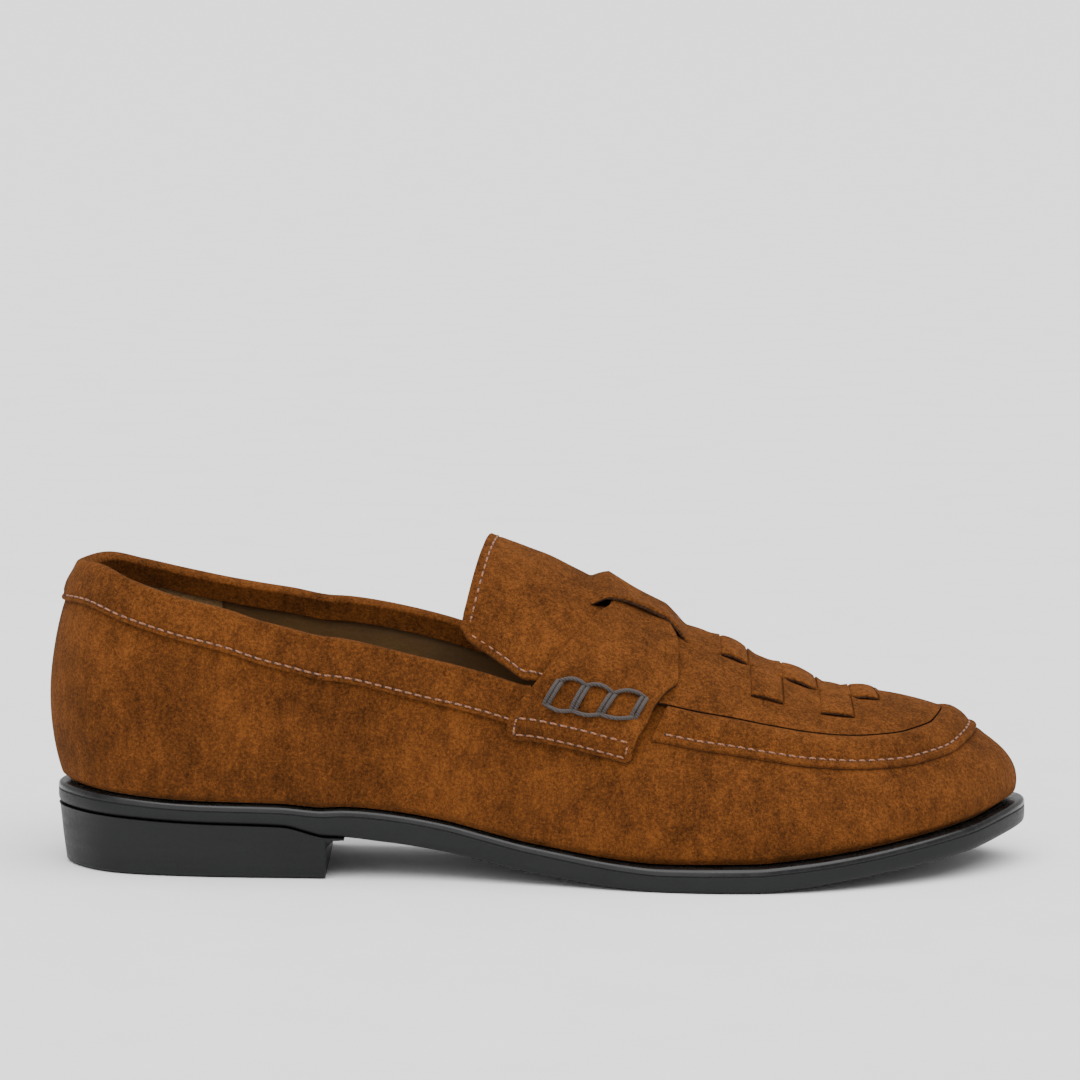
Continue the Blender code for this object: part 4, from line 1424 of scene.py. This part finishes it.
HEEL_TOP = 0.1 * MM


def heel(finishes):
    """Heel block of the sole unit, with its breast and a fillet into the sole."""
    breast = x_at(HEEL_LENGTH / LENGTH)
    order = (
        (3.4 * MM, 0.0, 0.0),
        (2.6 * MM, 0.0, 0.25 * MM),
        (HEEL_TAPER, 0.0, 0.9 * MM),
        (1.9 * MM, 0.0, 1.8 * MM),
        (1.1 * MM, 0.5, 0.0),
        (HEEL_TOP_INSET, 1.0, -0.9 * MM),
        (HEEL_TOP, 1.0, -0.25 * MM),
    )
    rims = {row[0]: Rim(lambda share, inset=row[0]: inset) for row in order}
    top = rims[HEEL_TOP]
    turns = np.linspace(0, 1, 150)
    bodies = []
    for part in turns:
        x_top = top.back + (breast - top.back) * (1 - math.cos(part * math.pi / 2))
        bodies.append((x_top, 0.0))
    for k in range(1, 12):
        turn = math.pi / 2 * k / 11
        x = breast + BREAST_FILLET * (1 - math.cos(turn))
        depth = (BREAST_FILLET - FILLET_LIP) * (1 - math.sin(turn)) + FILLET_LIP
        bodies.append((x, sole_under(x) - GAP - depth))
    places, size = [], 2 * len(order)
    for x_top, floor in bodies:
        share = min(max((x_top - top.back) / (breast - top.back), 0), 1)
        row = []
        for inset, part, lift in order:
            rim = rims[inset]
            x = x_top if x_top > breast else rim.back + (breast - rim.back) * share
            ceiling = sole_under(x_top) - 0.05 * MM
            z = floor + (ceiling - floor) * part + lift
            z = min(max(z, floor), ceiling)
            row.append((x, rim, z))
        places += [(x, rim.y(OUTER, x), z) for x, rim, z in row]
        places += [(x, rim.y(INNER, x), z) for x, rim, z in row[::-1]]
    faces = loft_faces(len(bodies), size)
    piece = mesh_object("heel_block", places, faces, finishes, None, 35)
    merge(piece)
    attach(piece, "root")
    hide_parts("heel")
    return piece


def merge(piece):
    """Joins corners that lie on one another, and drops what has no area."""
    work = bmesh.new()
    work.from_mesh(piece.data)
    bmesh.ops.remove_doubles(work, verts=work.verts, dist=0.02 * MM)
    bmesh.ops.dissolve_degenerate(work, edges=work.edges, dist=0.01 * MM)
    bmesh.ops.recalc_face_normals(work, faces=work.faces)
    work.to_mesh(piece.data)
    work.free()


def insole(finish):
    """Footbed with a dished heel and a soft edge."""
    def inset(extra):
        return lambda share: ledge(share) + UPPER_WALL + GAP + extra

    rows = (
        (0.0, GAP),
        (0.0, INSOLE_THICKNESS - 0.7 * MM),
        (0.3 * MM, INSOLE_THICKNESS - 0.2 * MM),
        (0.9 * MM, INSOLE_THICKNESS),
        (4.0 * MM, INSOLE_THICKNESS - 0.1 * MM),
        (12.0 * MM, INSOLE_THICKNESS - 0.5 * MM),
    )
    rings = [rim_ring(inset(extra), sole_top, lift) for extra, lift in rows]
    piece = ring_body("insole_skin", rings, [finish], [0] * len(rows))
    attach(piece, "root")
    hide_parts("insole")
    return piece


# Rows of stitches, from one share along the shoe to another.
COLLAR_ROW = (0.012, 0.470)
BAND_ROW = (0.622, 0.95)
TOE_ROW = (0.953, 0.986)
BAND_STITCH = 2.4 * MM


def stitching(finish, hole_shade_finish):
    """Every visible row of stitches, in one piece of thread and one of painted shade dots at the needle
    holes.
    """
    threads, hole_shades = Threads(7), Threads(6)
    collar_lift = GAP + COLLAR_THICKNESS - 0.2 * MM
    for side in SIDES:
        share = np.linspace(*COLLAR_ROW, 60)
        down = top_down(side, x_at(share)) + COLLAR_DEPTH - COLLAR_STITCH
        stitch_row(threads, hole_shades, side, share, down, collar_lift)
        share = np.concatenate([np.linspace(*BAND_ROW, 60), np.linspace(*TOE_ROW, 30)])
        down = seam_down(side, x_at(share)) - BAND_STITCH
        stitch_row(threads, hole_shades, side, share, down, 0.95 * MM)
        for offset in TAB_STITCHES:
            place = 1 - offset / STRAP_REACH
            across = np.linspace(*TAB_ENDS, 30)
            rear = float(columns(STRAP_EDGES, 1, np.array(place)))
            front = float(columns(STRAP_EDGES, 2, np.array(place)))
            share = rear + (front - rear) * across
            level = np.full(30, place)
            down = (STRAP_REACH * place + strap_tilt(level, across)) * LAST.wrap(side, x_at(share))
            lift = float(strap_height(np.array([place]))[0]) + STRAP_THICKNESS - 0.15 * MM
            stitch_row(threads, hole_shades, side, share, down, lift)
        for place in TAB_ENDS:
            low, high = (1 - offset / STRAP_REACH for offset in TAB_STITCHES)
            level = np.linspace(high, low, 12)
            rear, front = columns(STRAP_EDGES, 1, level), columns(STRAP_EDGES, 2, level)
            share = rear + (front - rear) * place
            down = (STRAP_REACH * level + strap_tilt(level, place)) * LAST.wrap(side, x_at(share))
            stitch_row(threads, hole_shades, side, share, down, lift)
        line = np.linspace(0, 1, 40)
        inset = TONGUE_STITCH
        share = TONGUE_BACK + inset / LENGTH - TONGUE_LEAN * line * 0.96
        whole = plug_down(side, x_at(np.array(TONGUE_BACK - TONGUE_LEAN)))
        stitch_row(threads, hole_shades, side, share, (whole - inset) * line, GAP + SUEDE + 0.3 * MM)
        ridge = np.linspace(TONGUE_BACK + inset / LENGTH, 0.53, 40)
        lean_row = TONGUE_LEAN * np.clip(1 - (ridge - TONGUE_BACK) / (THROAT - TONGUE_BACK), 0, 1)
        share = ridge - lean_row
        down = plug_down(side, x_at(share)) - inset
        stitch_row(threads, hole_shades, side, share, down, GAP + SUEDE - 0.1 * MM)
    pieces = (threads.make("stitching", finish), hole_shades.make("needle_hole_shades", hole_shade_finish))
    for piece in pieces:
        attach(piece, "root")
    return pieces


CAMERA_DISTANCE = 1.35
CAMERA_PITCH = 7.0
CAMERA_FOCAL = 166.8
CAMERA_AIM = (0.0, 2.5 * MM, 88 * MM)
FLOOR_HALF = 60.0
FLOOR_COLOURS = ((0.3, (0.84, 0.84, 0.84)), (0.7, (0.87, 0.87, 0.87)))


def studio():
    """Pale floor, soft lights and the photograph's camera."""
    floor_mesh = bpy.data.meshes.new("floor")
    half = FLOOR_HALF
    corners = [(-half, -half, 0), (half, -half, 0), (half, half, 0), (-half, half, 0)]
    floor_mesh.from_pydata(corners, [], [(0, 1, 2, 3)])
    floor = bpy.data.objects.new("floor", floor_mesh)
    bpy.context.collection.objects.link(floor)
    n = Nodes("floor_paper")
    speck = n.noise(30, 2, 0.5)
    n.link(n.ramp(speck, FLOOR_COLOURS), n.shader.inputs["Base Color"])
    n.set(roughness=0.9)
    floor_mesh.materials.append(n.material)
    world = bpy.data.worlds.new("studio")
    bpy.context.scene.world = world
    world.use_nodes = True
    background = world.node_tree.nodes["Background"]
    background.inputs["Color"].default_value = (1.0, 1.0, 1.0, 1.0)
    background.inputs["Strength"].default_value = 0.75
    lights = (
        ("overhead", (0.12, -0.35, 1.0), 75.0, 4.6),
        ("front", (-0.45, -1.0, 0.55), 60.0, 1.0),
    )
    for name, place, spread, power in lights:
        light = bpy.data.lights.new(name, "SUN")
        light.angle = math.radians(spread)
        light.energy = power
        lamp = bpy.data.objects.new(name, light)
        lamp.location = place
        lamp.rotation_euler = Vector(place).to_track_quat("Z", "Y").to_euler()
        bpy.context.collection.objects.link(lamp)
    camera_data = bpy.data.cameras.new("camera")
    camera_data.sensor_width = 36.0
    camera_data.lens = CAMERA_FOCAL
    camera = bpy.data.objects.new("camera", camera_data)
    pitch = math.radians(CAMERA_PITCH)
    aim = Vector(CAMERA_AIM)
    look = Vector((0.0, math.cos(pitch), -math.sin(pitch)))
    camera.location = aim - look * CAMERA_DISTANCE
    camera.rotation_euler = look.to_track_quat("-Z", "Y").to_euler()
    bpy.context.collection.objects.link(camera)
    bpy.context.scene.camera = camera


def main():
    """Makes the finishes, the studio and every piece of the shoe."""
    face, inside = suede("suede_face"), suede("suede_inside", 0.7)
    edge = raw_edge()
    strip = suede("suede_strips", 1.12)
    sole, gloss = rubber(), glossy_edge()
    leather = lining("lining_leather", (0.062, 0.030, 0.0085), (0.105, 0.055, 0.017), 0.5, HEEL_PATCH_END)
    footbed = lining("footbed_leather", (0.07, 0.036, 0.012), (0.12, 0.066, 0.023), 0.55)
    backing = lining("tongue_backing", (0.17, 0.11, 0.06), (0.27, 0.19, 0.11), 0.7)
    tan_thread = thread("tan_thread", (0.12, 0.042, 0.016), (0.30, 0.125, 0.058))
    # painted shade: near-black colour for the dots that stand in for the needle holes' shadow
    dark = thread("needle_hole_shadow", (0.006, 0.0025, 0.001), (0.012, 0.005, 0.002))
    cord = thread("waxed_cord", (0.011, 0.008, 0.007), (0.05, 0.036, 0.031))
    studio()
    outsole([sole, gloss])
    heel([sole])
    insole(footbed)
    upper([face, leather, edge])
    collar(face)
    plug([face, backing, edge])
    weave_strips([strip, inside, edge])
    apron_band([face, inside, edge])
    saddle_strap([face, inside, edge])
    lacing("lacing_outer", OUTER, cord)
    lacing("lacing_inner", INNER, cord)
    stitching(tan_thread, dark)


main()
